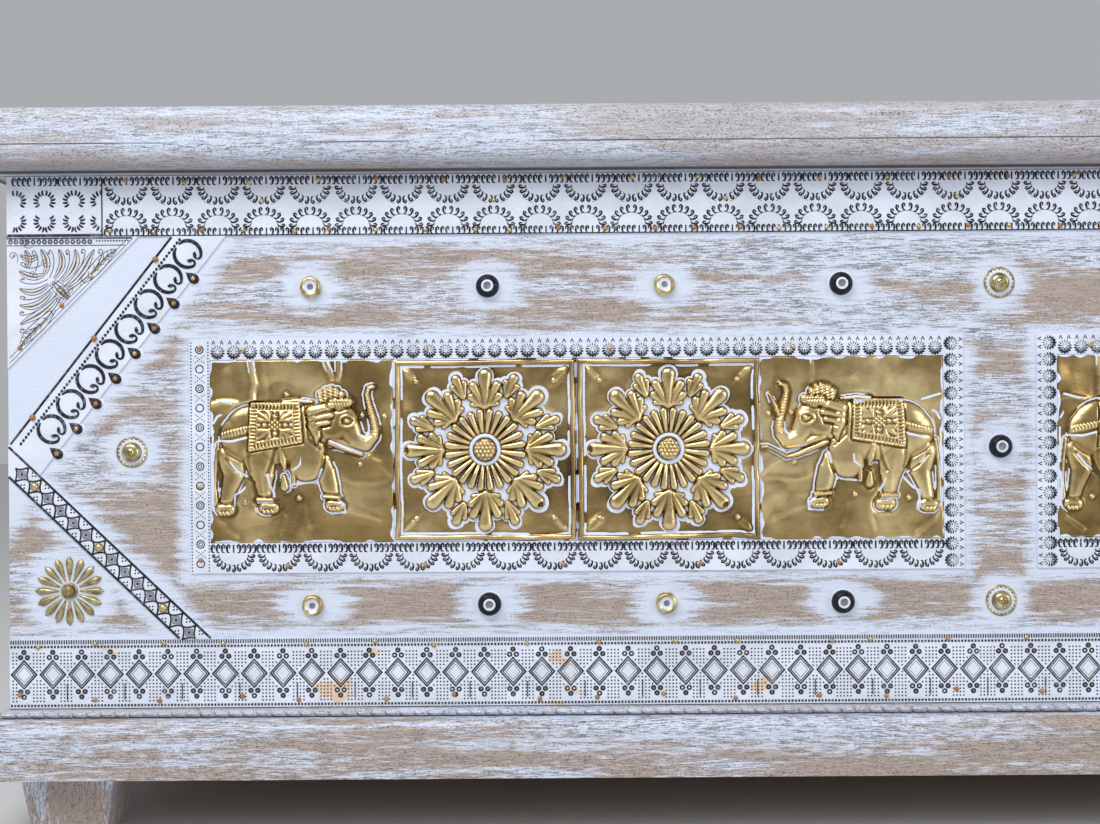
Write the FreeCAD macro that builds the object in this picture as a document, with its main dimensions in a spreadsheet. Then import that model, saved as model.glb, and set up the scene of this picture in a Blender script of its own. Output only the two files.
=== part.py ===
"""Storage chest with a hinged lid and a front dressed in brass plates, tin strips and studs.

Millimetres. The middle of the footprint is the origin, the floor is z = 0, the front faces -Y.
"""
import FreeCAD, Part
import math
import os
import re
import Sketcher

# Sizes in millimetres, each written once; every other length follows from them.
SIZES = {
    # Bands of the front, from the floor up to the lid
    "foot_height": 40,
    "base_height": 40,
    "bottom_strip_height": 42,
    "lower_field": 39,
    "bottom_border": 18,
    "plate_size": 110,
    "border_width": 12,
    "upper_field": 62.5,
    "top_strip_height": 36,
    "strip_drop": 0.5,
    # Bands of the front, from the middle to an end
    "panel_gap": 44,
    "end_margin": 109,
    # Carcass
    "body_depth": 430,
    "board_thick": 20,
    "rebate_depth": 8,
    "lower_board_width": 170,
    "tongue_depth": 6,
    "tongue_thick": 6,
    "joint_gap": 0.2,
    "post_width": 30,
    "post_drop": 6,
    "cleat_width": 30,
    "cleat_height": 20,
    "bottom_thick": 12,
    "plank_gap": 1,
    # Tapered block feet
    "foot_width": 56,
    "foot_taper": 6,
    "foot_inset": 4,
    # Base moulding with a bead on its ledge
    "base_depth": 14,
    "base_round": 8,
    "bead_height": 5,
    # Lid
    "lid_gap": 1.5,
    "lid_thick": 22,
    "lip_height": 16,
    "moulding_depth": 24,
    "moulding_top_round": 10,
    "moulding_low_round": 16,
    "batten_width": 60,
    "batten_thick": 18,
    "batten_gap": 10,
    "batten_inset": 195,
    # Butt hinges
    "hinge_inset": 215,
    "hinge_length": 76,
    "leaf_width": 17,
    "leaf_thick": 2,
    "knuckle_radius": 4,
    "knuckle_gap": 0.3,
    "pivot_gap": 0.2,
    "pin_radius": 2,
    "pin_fit": 0.05,
    "notch_side_gap": 1,
    "notch_top_gap": 1,
    # Tin and brass on the front
    "tin_thick": 1,
    "corner_plate_length": 58,
    "leaf_plate_leg": 79,
    "upper_brace_run": 98,
    "upper_brace_width": 26,
    "lower_brace_run": 122,
    "lower_brace_width": 14.5,
    "brace_low": 117,
    "rosette_inset": 36,
    "rosette_rise": 29,
    "rosette_radius": 21,
    "stud_pitch": 106,
    "end_stud_inset": 74,
    "brass_stud_radius": 6.5,
    "brass_stud_height": 4.5,
    "black_stud_radius": 7.8,
    "black_stud_height": 5.5,
    "flower_stud_radius": 10,
    "flower_stud_height": 5.5,
    "flower_dome_radius": 6,
    "shank_width": 3,
    "shank_length": 14,
    "shank_fit": 0.2,
    # Relief of the brass plates
    "frame_inset": 2,
    "frame_width": 2.5,
    "frame_rise": 1.6,
    "petal_rise": 3.2,
    "large_leaf_rise": 3.6,
    "small_leaf_rise": 2.2,
    "boss_radius": 7,
    "boss_rise": 6,
    "elephant_rise": 4.2,
    "cloth_rise": 1.2,
    "ear_rise": 1.6,
}

PLATES_PER_PANEL = 4
BOTTOM_PLANKS = 10
LID_PLANKS = 3
KNUCKLES = 3
STUD_SIDES = 12

# Places that several pieces share, as expressions over the sizes
PANEL_WIDTH = f"({PLATES_PER_PANEL} * plate_size + 2 * border_width)"
HALF_LENGTH = f"(end_margin + {PANEL_WIDTH} + panel_gap / 2)"
HALF_DEPTH = "(body_depth / 2)"
INNER_LENGTH = f"({HALF_LENGTH} - board_thick)"
INNER_DEPTH = f"({HALF_DEPTH} - board_thick)"
FRONT = f"(-{HALF_DEPTH})"
SPLIT = "(foot_height + lower_board_width)"
FLOOR_LOW = "(foot_height + cleat_height)"
FLOOR_TOP = f"({FLOOR_LOW} + bottom_thick)"
BASE_TOP = "(foot_height + base_height)"
LEDGE = f"({BASE_TOP} - bead_height)"
FIELD_LOW = f"({BASE_TOP} + bottom_strip_height)"
PANEL_LOW = f"({FIELD_LOW} + lower_field)"
PLATE_LOW = f"({PANEL_LOW} + bottom_border)"
PLATE_MIDDLE = f"({PLATE_LOW} + plate_size / 2)"
PLATE_TOP = f"({PLATE_LOW} + plate_size)"
PANEL_TOP = f"({PLATE_TOP} + border_width)"
FIELD_TOP = f"({PANEL_TOP} + upper_field)"
STRIP_TOP = f"({FIELD_TOP} + top_strip_height)"
LIP_LOW = f"({STRIP_TOP} + strip_drop)"
BODY_TOP = f"({LIP_LOW} + lip_height)"
LID_TOP = f"({BODY_TOP} + lid_thick)"
LID_INNER_LENGTH = f"({HALF_LENGTH} + lid_gap)"
LID_FRONT = f"(-({HALF_DEPTH} + lid_gap))"
LID_REAR = f"({HALF_DEPTH} + lid_gap + moulding_depth)"
PANEL_MIDDLE = f"(panel_gap / 2 + {PANEL_WIDTH} / 2)"
PIVOT = f"({HALF_DEPTH} + pivot_gap + knuckle_radius)"
LEAF_REAR = f"({HALF_DEPTH} - pivot_gap)"
UPPER_STUDS = f"({PANEL_TOP} + upper_field / 2)"
LOWER_STUDS = f"({FIELD_LOW} + lower_field / 2)"

# Half outlines of the flower's parts: distance from the middle and half width
PETAL_SHARES = [(0.055, 0.005), (0.205, 0.022), (0.23, 0.0)]
LARGE_LEAF_SHARES = [
    (0.234, 0.03), (0.265, 0.095), (0.29, 0.055), (0.345, 0.1), (0.36, 0.052), (0.415, 0.06), (0.45, 0.0),
]
SMALL_LEAF_SHARES = [(0.3, 0.012), (0.35, 0.018), (0.405, 0.038), (0.438, 0.0)]
ROSETTE_PETAL_SHARES = [(0.2, 0.03), (0.84, 0.125), (1.0, 0.0)]
PETALS = 24
LEAVES = 8
ROSETTE_PETALS = 16
SCALLOPS = 12

# Reach of a washer's hollows and of its lobes, and the bevel of a plain stud's head as a share of its height
SCALLOP_SHARES = (0.84, 1.0)
STUD_BEVEL_SHARE = 0.6

# Outlines of the walking elephant on its square plate, from the lower left corner; where an arc leaves a
# point, two more numbers give the arc's middle
ELEPHANT_SHARES = [
    (0.1, 0.71, 0.3, 0.785), (0.545, 0.765), (0.6, 0.838), (0.68, 0.862), (0.755, 0.82), (0.79, 0.72),
    (0.825, 0.585, 0.855, 0.57), (0.873, 0.62), (0.845, 0.78, 0.85, 0.845), (0.885, 0.868), (0.908, 0.845),
    (0.895, 0.79), (0.905, 0.7, 0.935, 0.59), (0.87, 0.49), (0.78, 0.51), (0.655, 0.54), (0.625, 0.47),
    (0.645, 0.38), (0.73, 0.19), (0.715, 0.163), (0.632, 0.168), (0.622, 0.24), (0.585, 0.305), (0.47, 0.3),
    (0.36, 0.365), (0.352, 0.28), (0.385, 0.175), (0.37, 0.153), (0.262, 0.16), (0.262, 0.25),
    (0.235, 0.34), (0.165, 0.3), (0.135, 0.165), (0.115, 0.14), (0.038, 0.15), (0.08, 0.3),
    (0.075, 0.42, 0.05, 0.57),
]
CLOTH_SHARES = [(0.205, 0.755), (0.49, 0.755), (0.49, 0.455), (0.205, 0.455)]
EAR_SHARES = [(0.59, 0.72), (0.635, 0.76), (0.7, 0.71), (0.7, 0.63), (0.655, 0.565), (0.61, 0.61)]

UP = FreeCAD.Rotation()
ALONG = FreeCAD.Rotation(FreeCAD.Vector(0, 1, 0), 90)
OUTWARD = FreeCAD.Rotation(FreeCAD.Vector(1, 0, 0), 90)

doc = FreeCAD.newDocument("storage_chest")
sheet = doc.addObject("Spreadsheet::Sheet", "Sizes")
for row, (alias, number) in enumerate(SIZES.items(), start=1):
    sheet.set(f"A{row}", alias)
    sheet.set(f"B{row}", str(number))
    sheet.setAlias(f"B{row}", alias)
doc.recompute()

SIZE_WORD = re.compile(r"\b(" + "|".join(SIZES) + r")\b")
nodes = []


def value(expression):
    """The number an expression over the sizes stands for."""
    return float(sheet.evalExpression(expression))


def bind(thing, name, expression):
    """Ties a property to the sheet."""
    thing.setExpression(name, SIZE_WORD.sub(r"Sizes.\1", expression))


def place(thing, x, y, z, turn=UP):
    """Turns a thing and ties its position to the sheet."""
    thing.Placement = FreeCAD.Placement(FreeCAD.Vector(), turn)
    for axis, expression in zip("xyz", (x, y, z)):
        bind(thing, f"Placement.Base.{axis}", expression)
    return thing


def node(name, thing):
    """Marks a thing as a finished piece of the chest."""
    thing.Label = name
    nodes.append(thing)
    return thing


def block(x, y, z, name="block"):
    """A rectangular board, given by its low and high end on each axis."""
    box = doc.addObject("Part::Box", name)
    for side, (low, high) in zip(("Length", "Width", "Height"), (x, y, z)):
        bind(box, side, f"({high}) - ({low})")
    return place(box, x[0], y[0], z[0])


def rod(radius, length, start, turn=UP):
    """A round bar from its starting point."""
    bar = doc.addObject("Part::Cylinder", "rod")
    bind(bar, "Radius", radius)
    bind(bar, "Height", length)
    return place(bar, *start, turn)


def group(things):
    """Separate solids kept together."""
    together = doc.addObject("Part::Compound", "group")
    together.Links = things
    return together


def fused(things):
    """One solid out of several."""
    whole = doc.addObject("Part::MultiFuse", "fused")
    whole.Shapes = things
    return whole


def less(base, things):
    """A thing with others cut out of it."""
    rest = doc.addObject("Part::Cut", "less")
    rest.Base = base
    rest.Tool = group(things)
    return rest


def copy(thing, x, y, z, turn=UP):
    """The same thing again in another place."""
    link = doc.addObject("App::Link", "copy")
    link.LinkedObject = thing
    return place(link, x, y, z, turn)


def origin_part(body, role):
    """One of a body's own planes or axes."""
    return [part for part in body.Origin.OriginFeatures if part.Role == role][0]


def draw(sketch, points):
    """Draws one closed outline tied to the sheet.

    A point is (x, y), or (x, y, centre x, centre y, way) where an arc leaves it, to the left or the right.
    """
    first = sketch.GeometryCount
    corners = [FreeCAD.Vector(value(point[0]), value(point[1]), 0) for point in points]
    heads = []
    bends = []
    for index, point in enumerate(points):
        start = corners[index]
        end = corners[(index + 1) % len(points)]
        heads.append(2 if point[-1] == "right" else 1)
        if len(point) == 2:
            sketch.addGeometry(Part.LineSegment(start, end), False)
            continue
        centre = FreeCAD.Vector(value(point[2]), value(point[3]), 0)
        angles = [math.atan2(*reversed((tip - centre)[:2])) for tip in (start, end)]
        if point[-1] == "right":
            angles.reverse()
        circle = Part.Circle(centre, FreeCAD.Vector(0, 0, 1), (start - centre).Length)
        sketch.addGeometry(Part.ArcOfCircle(circle, *angles), False)
        flat = abs(end.x - start.x) > abs(end.y - start.y)
        bends.append((first + index, "DistanceY" if flat else "DistanceX", point[3] if flat else point[2]))
    for index in range(len(points)):
        following = (index + 1) % len(points)
        ends = (first + index, 3 - heads[index], first + following, heads[following])
        sketch.addConstraint(Sketcher.Constraint("Coincident", *ends))
    for index, point in enumerate(points):
        for kind, expression in zip(("DistanceX", "DistanceY"), point):
            measure(sketch, kind, first + index, heads[index], expression)
    for line, kind, expression in bends:
        measure(sketch, kind, line, 3, expression)


def measure(sketch, kind, line, end, expression):
    """Ties one coordinate of a sketch to the sheet."""
    number = sketch.addConstraint(Sketcher.Constraint(kind, line, end, value(expression)))
    bind(sketch, f"Constraints[{number}]", expression)


def sketched(body, plane, outlines):
    """A sketch on one of the body's own planes."""
    sketch = body.newObject("Sketcher::SketchObject", "outline")
    sketch.AttachmentSupport = [(origin_part(body, plane), "")]
    sketch.MapMode = "FlatFace"
    for points in outlines:
        draw(sketch, points)
    return sketch


def new_body():
    """An empty body."""
    return doc.addObject("PartDesign::Body", "body")


def pad(body, plane, outlines, length, side="One side"):
    """Raises outlines from a plane; from the XZ plane they rise towards the front."""
    feature = body.newObject("PartDesign::Pad", "pad")
    feature.Profile = sketched(body, plane, outlines)
    feature.SideType = side
    bind(feature, "Length", length)
    return feature


def pocket(body, plane, outlines):
    """Cuts outlines right through, to both sides of a plane."""
    feature = body.newObject("PartDesign::Pocket", "pocket")
    feature.Profile = sketched(body, plane, outlines)
    feature.SideType = "Symmetric"
    feature.Type = "ThroughAll"
    return feature


def around(body, feature, count):
    """Repeats a feature about the axis that points out of the front."""
    doc.recompute()
    ring = body.newObject("PartDesign::PolarPattern", "ring")
    ring.Originals = [feature]
    ring.Axis = (origin_part(body, "Y_Axis"), [""])
    ring.Occurrences = count
    body.Tip = ring
    return ring


def box_outline(x, z):
    """The four corners of a rectangle."""
    return [(x[0], z[0]), (x[1], z[0]), (x[1], z[1]), (x[0], z[1])]


def mirrored(low, high):
    """The same range on the other side of the middle."""
    return f"-({high})", f"-({low})"


def both_ends(x, y, z):
    """The same board at both ends of the chest."""
    return [block(x, y, z), block(mirrored(*x), y, z)]


def row(count, pitch):
    """Evenly spaced places about the middle."""
    return [f"{index - (count - 1) / 2} * {pitch}" for index in range(count)]


def stud_places():
    """Where each kind of stud sits on the front, as (x, z)."""
    brass, black = [], []
    for side in (-1, 1):
        for index, step in enumerate(row(PLATES_PER_PANEL, "stud_pitch")):
            outermost_first = index if side < 0 else PLATES_PER_PANEL - 1 - index
            kind = brass if outermost_first % 2 == 0 else black
            kind += [(f"{side} * {PANEL_MIDDLE} + {step}", z) for z in (UPPER_STUDS, LOWER_STUDS)]
    black.append(("0", PLATE_MIDDLE))
    flower = [("0", UPPER_STUDS), ("0", LOWER_STUDS)]
    flower += [(f"{side} * ({HALF_LENGTH} - end_stud_inset)", PLATE_MIDDLE) for side in (-1, 1)]
    return brass, black, flower


def shank_holes():
    """Square holes in the front for the shanks of all the studs."""
    half = "(shank_width / 2 + shank_fit)"
    y = (FRONT, f"{FRONT} + shank_length + shank_fit")
    places = [place for kind in stud_places() for place in kind]
    return [block((f"{x} - {half}", f"{x} + {half}"), y, (f"{z} - {half}", f"{z} + {half}")) for x, z in places]


def long_boards(name, outer, inner, upper_cuts):
    """The two boards of the front or the rear, tongued together and rebated for the end boards."""
    low, high = (outer, inner) if name == "front" else (inner, outer)
    length = (f"-{HALF_LENGTH}", HALF_LENGTH)
    inward = 1 if name == "front" else -1
    middle = f"({outer} + {inner}) / 2"
    tongue = (f"{middle} - tongue_thick / 2", f"{middle} + tongue_thick / 2")
    groove = (f"{tongue[0]} - joint_gap", f"{tongue[1]} + joint_gap")
    rebate = sorted((inner, f"{inner} - {inward} * rebate_depth"), key=value)
    end = (INNER_LENGTH, HALF_LENGTH)
    rebates = both_ends(end, rebate, ("foot_height", BODY_TOP))
    lower = fused([
        block(length, (low, high), ("foot_height", SPLIT)),
        block(length, tongue, (SPLIT, f"{SPLIT} + tongue_depth")),
    ])
    upper = block(length, (low, high), (SPLIT, BODY_TOP))
    slot = block(length, groove, (SPLIT, f"{SPLIT} + tongue_depth + joint_gap"))
    node(f"{name}_lower_board", less(lower, rebates + (shank_holes() if name == "front" else [])))
    node(f"{name}_upper_board", less(upper, rebates + [slot] + upper_cuts))


def end_boards(name, side):
    """The two boards of one end, housed in the rebates of the front and the rear."""
    x = (INNER_LENGTH, HALF_LENGTH) if side > 0 else mirrored(INNER_LENGTH, HALF_LENGTH)
    reach = f"({INNER_DEPTH} + rebate_depth)"
    y = (f"-{reach}", reach)
    middle = f"({x[0]} + {x[1]}) / 2"
    tongue = (f"{middle} - tongue_thick / 2", f"{middle} + tongue_thick / 2")
    groove = (f"{tongue[0]} - joint_gap", f"{tongue[1]} + joint_gap")
    node(f"{name}_lower_board", fused([
        block(x, y, ("foot_height", SPLIT)),
        block(tongue, y, (SPLIT, f"{SPLIT} + tongue_depth")),
    ]))
    slot = block(groove, y, (SPLIT, f"{SPLIT} + tongue_depth + joint_gap"))
    node(f"{name}_upper_board", less(block(x, y, (SPLIT, BODY_TOP)), [slot]))


def corner_posts():
    """Square posts that stiffen the four corners from inside."""
    x = (f"{INNER_LENGTH} - post_width", INNER_LENGTH)
    y = (f"{INNER_DEPTH} - post_width", INNER_DEPTH)
    z = (FLOOR_TOP, f"{BODY_TOP} - post_drop")
    for across, left_right in ((mirrored(*x), "left"), (x, "right")):
        for depth, front_rear in ((mirrored(*y), "front"), (y, "rear")):
            node(f"corner_post_{front_rear}_{left_right}", block(across, depth, z))


def cleats():
    """Two cleats along the front and the rear that carry the floor and sit on the feet."""
    length = (f"-{INNER_LENGTH}", INNER_LENGTH)
    y = (f"{INNER_DEPTH} - cleat_width", INNER_DEPTH)
    for name, depth in (("front", mirrored(*y)), ("rear", y)):
        node(f"floor_cleat_{name}", block(length, depth, ("foot_height", FLOOR_LOW)))


def floor_planks():
    """Short planks laid across the cleats."""
    pitch = f"(2 * {INNER_LENGTH} / {BOTTOM_PLANKS})"
    half = f"({pitch} - plank_gap) / 2"
    y = (f"-({INNER_DEPTH} - plank_gap / 2)", f"{INNER_DEPTH} - plank_gap / 2")
    planks = [
        block((f"{middle} - {half}", f"{middle} + {half}"), y, (FLOOR_LOW, FLOOR_TOP))
        for middle in row(BOTTOM_PLANKS, pitch)
    ]
    node("floor_planks", group(planks))


def feet():
    """Four square feet that taper towards the floor."""
    x = f"({HALF_LENGTH} - foot_inset - foot_width / 2)"
    y = f"({HALF_DEPTH} - foot_inset - foot_width / 2)"
    for across, left_right in ((f"-{x}", "left"), (x, "right")):
        for depth, front_rear in ((f"-{y}", "front"), (y, "rear")):
            foot = doc.addObject("Part::Wedge", "foot")
            for side in "XZ":
                for end, sign in (("min", "-"), ("max", "")):
                    bind(foot, f"{side}{end}", f"{sign}(foot_width / 2 - foot_taper)")
                    bind(foot, f"{side}2{end}", f"{sign}(foot_width / 2)")
            bind(foot, "Ymin", "0")
            bind(foot, "Ymax", "foot_height")
            node(f"foot_{front_rear}_{left_right}", place(foot, across, depth, "0", OUTWARD))


def base_profile(back, way):
    """Section of the base moulding, with a round-over that starts at the bead."""
    flat = f"{back} + {way} * (base_depth - base_round)"
    face = f"{back} + {way} * base_depth"
    low = f"{LEDGE} - base_round"
    turn = "right" if way > 0 else "left"
    return [
        (back, "foot_height"),
        (back, LEDGE),
        (flat, LEDGE, flat, low, turn),
        (face, low),
        (face, "foot_height"),
    ]


def bead_profile(back, way):
    """Section of the half-round bead on the ledge."""
    nose = f"{back} + {way} * (base_depth - base_round - bead_height / 2)"
    turn = "right" if way > 0 else "left"
    return [
        (back, LEDGE),
        (back, BASE_TOP),
        (nose, BASE_TOP, nose, f"{BASE_TOP} - bead_height / 2", turn),
        (nose, LEDGE),
    ]


def front_run(profile, inner, depth):
    """A moulding along the front, mitred at both ends."""
    body = new_body()
    pad(body, "YZ_Plane", [profile], f"2 * ({inner} + {depth})", "Symmetric")
    back_line = profile[0][0]
    nose = f"{back_line} - {depth}"
    corners = [(f"{inner}", back_line), (f"{inner} + {depth}", nose), (f"{inner} + {depth}", back_line)]
    far = [(f"-({x})", y) for x, y in corners]
    pocket(body, "XY_Plane", [corners, far])
    return body


def end_run(profile, side, back_line, rear, depth):
    """A moulding along one end, mitred to the front run and square at the rear."""
    body = new_body()
    front = f"({rear} - ({back_line} - {depth}))"
    pad(body, "XZ_Plane", [profile], front)
    inner = profile[0][0]
    low = f"{back_line} - ({rear})"
    nose = f"{low} - {depth}"
    outer = f"{inner} + {side} * {depth}"
    pocket(body, "XY_Plane", [[(inner, low), (inner, nose), (outer, nose)]])
    return place(body, "0", rear, "0")


def base_mouldings():
    """Base moulding and bead along the front and both ends."""
    node("base_moulding_front", front_run(base_profile(FRONT, -1), HALF_LENGTH, "base_depth"))
    bead_depth = "(base_depth - base_round)"
    beads = [front_run(bead_profile(FRONT, -1), HALF_LENGTH, bead_depth)]
    for name, side in (("left", -1), ("right", 1)):
        back = f"{side} * {HALF_LENGTH}"
        node(f"base_moulding_{name}", end_run(base_profile(back, side), side, FRONT, HALF_DEPTH, "base_depth"))
        beads.append(end_run(bead_profile(back, side), side, FRONT, HALF_DEPTH, bead_depth))
    node("base_beads", group(beads))


def lid_profile(back, way):
    """Section of the bull-nosed lid moulding that hangs over the carcass."""
    low_flat = f"{back} + {way} * (moulding_depth - moulding_low_round)"
    top_flat = f"{back} + {way} * (moulding_depth - moulding_top_round)"
    face = f"{back} + {way} * moulding_depth"
    shoulder = f"{LID_TOP} - moulding_top_round"
    belly = f"{LIP_LOW} + moulding_low_round"
    turn = "right" if way > 0 else "left"
    return [
        (back, LIP_LOW),
        (back, LID_TOP),
        (top_flat, LID_TOP, top_flat, shoulder, turn),
        (face, shoulder),
        (face, belly, low_flat, belly, turn),
        (low_flat, LIP_LOW),
    ]


def lid_mouldings():
    """The moulded rim of the lid on the front and both ends."""
    node("lid_moulding_front", front_run(lid_profile(LID_FRONT, -1), LID_INNER_LENGTH, "moulding_depth"))
    for name, side in (("left", -1), ("right", 1)):
        profile = lid_profile(f"{side} * {LID_INNER_LENGTH}", side)
        node(f"lid_moulding_{name}", end_run(profile, side, LID_FRONT, LID_REAR, "moulding_depth"))


def lid_planks():
    """Tongued planks of the lid; the rear one is cut for the hinges."""
    x = (f"-{LID_INNER_LENGTH}", LID_INNER_LENGTH)
    width = f"(({LID_REAR} - {LID_FRONT}) / {LID_PLANKS})"
    middle = f"({BODY_TOP} + lid_thick / 2)"
    tongue = (f"{middle} - tongue_thick / 2", f"{middle} + tongue_thick / 2")
    groove = (f"{tongue[0]} - joint_gap", f"{tongue[1]} + joint_gap")
    for index, name in enumerate(("front", "middle", "rear")):
        low = f"({LID_FRONT} + {index} * {width})"
        high = f"({low} + {width})"
        plank = block(x, (low, high), (BODY_TOP, LID_TOP))
        cuts = []
        if name != "rear":
            plank = fused([plank, block(x, (high, f"{high} + tongue_depth"), tongue)])
        if name != "front":
            cuts.append(block(x, (low, f"{low} + tongue_depth + joint_gap"), groove))
        if name == "rear":
            cuts += lid_hinge_cuts()
        node(f"lid_{name}_plank", less(plank, cuts) if cuts else plank)


def lid_battens():
    """Three cross battens under the lid."""
    reach = f"({INNER_DEPTH} - batten_gap)"
    z = (f"{BODY_TOP} - batten_thick", BODY_TOP)
    battens = []
    for middle in row(3, f"({HALF_LENGTH} - batten_inset)"):
        x = (f"{middle} - batten_width / 2", f"{middle} + batten_width / 2")
        battens.append(block(x, (f"-{reach}", reach), z))
    node("lid_battens", group(battens))


def hinge_places():
    """Where the hinges sit along the rear."""
    return {"left": f"-({HALF_LENGTH} - hinge_inset)", "right": f"({HALF_LENGTH} - hinge_inset)"}


def leaf_seats(z):
    """Shallow seats for the hinge leaves."""
    y = (f"{LEAF_REAR} - leaf_width - joint_gap", HALF_DEPTH)
    reach = "hinge_length / 2 + joint_gap"
    return [block((f"{middle} - ({reach})", f"{middle} + {reach}"), y, z) for middle in hinge_places().values()]


def lid_hinge_cuts():
    """Leaf seats and knuckle notches in the rear plank of the lid."""
    cuts = leaf_seats((BODY_TOP, f"{BODY_TOP} + leaf_thick"))
    reach = "hinge_length / 2 + notch_side_gap"
    z = (BODY_TOP, f"{BODY_TOP} + knuckle_radius + notch_top_gap")
    for middle in hinge_places().values():
        cuts.append(block((f"{middle} - ({reach})", f"{middle} + {reach}"), (LEAF_REAR, LID_REAR), z))
    return cuts


def hinge_leaf(middle, first_knuckle, z):
    """One leaf with every second knuckle, bored for the pin."""
    x = (f"{middle} - hinge_length / 2", f"{middle} + hinge_length / 2")
    metal = [block(x, (f"{LEAF_REAR} - leaf_width", LEAF_REAR), z)]
    pitch = f"((hinge_length + knuckle_gap) / {KNUCKLES})"
    for index in range(first_knuckle, KNUCKLES, 2):
        low = f"{x[0]} + {index} * {pitch}"
        high = f"{low} + {pitch} - knuckle_gap"
        metal.append(block((low, high), (LEAF_REAR, PIVOT), z))
        metal.append(rod("knuckle_radius", f"{pitch} - knuckle_gap", (low, PIVOT, BODY_TOP), ALONG))
    return less(fused(metal), [rod("pin_radius + pin_fit", "hinge_length", (x[0], PIVOT, BODY_TOP), ALONG)])


def hinges():
    """Two butt hinges: a leaf let into the rear, a leaf let into the lid and a pin."""
    for name, middle in hinge_places().items():
        low = f"{middle} - hinge_length / 2"
        node(f"hinge_body_leaf_{name}", hinge_leaf(middle, 0, (f"{BODY_TOP} - leaf_thick", BODY_TOP)))
        node(f"hinge_lid_leaf_{name}", hinge_leaf(middle, 1, (BODY_TOP, f"{BODY_TOP} + leaf_thick")))
        node(f"hinge_pin_{name}", rod("pin_radius", "hinge_length", (low, PIVOT, BODY_TOP), ALONG))


def front_sheet(outlines, thick="tin_thick"):
    """A flat sheet of metal nailed to the front."""
    body = new_body()
    pad(body, "XZ_Plane", outlines, thick)
    return place(body, "0", FRONT, "0")


def strips():
    """The two stamped strips along the front and the square plates that end the upper one."""
    inner = f"({HALF_LENGTH} - corner_plate_length)"
    upper = (FIELD_TOP, STRIP_TOP)
    node("top_strip", front_sheet([box_outline((f"-{inner}", inner), upper)]))
    node("bottom_strip", front_sheet([box_outline((f"-{HALF_LENGTH}", HALF_LENGTH), (BASE_TOP, FIELD_LOW))]))
    corner = box_outline((inner, HALF_LENGTH), upper)
    node("top_corner_plates", group(at_both_ends(corner)))


def at_both_ends(points):
    """A sheet at the right end and its mirror at the left."""
    return [front_sheet([points]), front_sheet([[(f"-({x})", z) for x, z in points]])]


def braces():
    """Slanting strips that meet at each end, and the leaf plate in each upper corner."""
    meet = f"({FIELD_LOW} + brace_low)"
    rise = f"({FIELD_TOP} - {meet})"
    upper_slope = f"({rise} / upper_brace_run)"
    lower_slope = "(brace_low / lower_brace_run)"
    upper_across = f"(upper_brace_width * sqrt(1 + 1 / {upper_slope} ^ 2))"
    lower_across = f"(lower_brace_width * sqrt(1 + 1 / {lower_slope} ^ 2))"
    crotch = f"({upper_across} * {upper_slope} / ({upper_slope} + {lower_slope}))"
    upper = [
        (HALF_LENGTH, meet),
        (f"{HALF_LENGTH} - {crotch}", f"{meet} - {crotch} * {lower_slope}"),
        (f"{HALF_LENGTH} - upper_brace_run - {upper_across}", FIELD_TOP),
        (f"{HALF_LENGTH} - upper_brace_run", FIELD_TOP),
    ]
    lower = [
        (HALF_LENGTH, meet),
        (f"{HALF_LENGTH} - lower_brace_run", FIELD_LOW),
        (f"{HALF_LENGTH} - lower_brace_run + {lower_across}", FIELD_LOW),
        (HALF_LENGTH, f"{meet} - {lower_across} * {lower_slope}"),
    ]
    leaf = [
        (HALF_LENGTH, FIELD_TOP),
        (HALF_LENGTH, f"{FIELD_TOP} - leaf_plate_leg"),
        (f"{HALF_LENGTH} - leaf_plate_leg", FIELD_TOP),
    ]
    node("upper_brace_strips", group(at_both_ends(upper)))
    node("lower_brace_strips", group(at_both_ends(lower)))
    node("leaf_corner_plates", group(at_both_ends(leaf)))


def panel_borders():
    """Stamped strips round each panel of plates."""
    for name, side in (("left", -1), ("right", 1)):
        middle = f"{side} * {PANEL_MIDDLE}"
        low = f"{middle} - {PANEL_WIDTH} / 2"
        high = f"{middle} + {PANEL_WIDTH} / 2"
        inner = (f"{low} + border_width", f"{high} - border_width")
        height = (PANEL_LOW, PANEL_TOP)
        outlines = [
            box_outline((low, inner[0]), height),
            box_outline((inner[1], high), height),
            box_outline(inner, (PLATE_TOP, PANEL_TOP)),
            box_outline(inner, (PANEL_LOW, PLATE_LOW)),
        ]
        node(f"{name}_panel_border", group([front_sheet([points]) for points in outlines]))


def radial(shares, size):
    """A petal or leaf outline that points along X, from half of it."""
    half = [(f"{along} * {size}", f"{wide} * {size}") for along, wide in shares]
    tip_first = [(along, f"-({wide})") for along, wide in reversed(half[:-1])]
    return half + tip_first


def dome(radius, rise, bevel):
    """A round head of few flat faces, standing on the XY plane, with its upper edge bevelled."""
    body = new_body()
    corners = []
    for index in range(STUD_SIDES):
        corners += turned_by([(radius, "0")], 360 * index / STUD_SIDES)
    head = pad(body, "XY_Plane", [corners], rise)
    doc.recompute()
    heights = [face.CenterOfMass.z for face in head.Shape.Faces]
    chamfer = body.newObject("PartDesign::Chamfer", "bevel")
    chamfer.Base = (head, [f"Face{heights.index(max(heights)) + 1}"])
    bind(chamfer, "Size", bevel)
    return body


def turned_by(points, degrees):
    """An outline turned about the middle."""
    cosine = round(math.cos(math.radians(degrees)), 9)
    sine = round(math.sin(math.radians(degrees)), 9)
    return [(f"{cosine} * ({x}) - {sine} * ({z})", f"{sine} * ({x}) + {cosine} * ({z})") for x, z in points]


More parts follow.
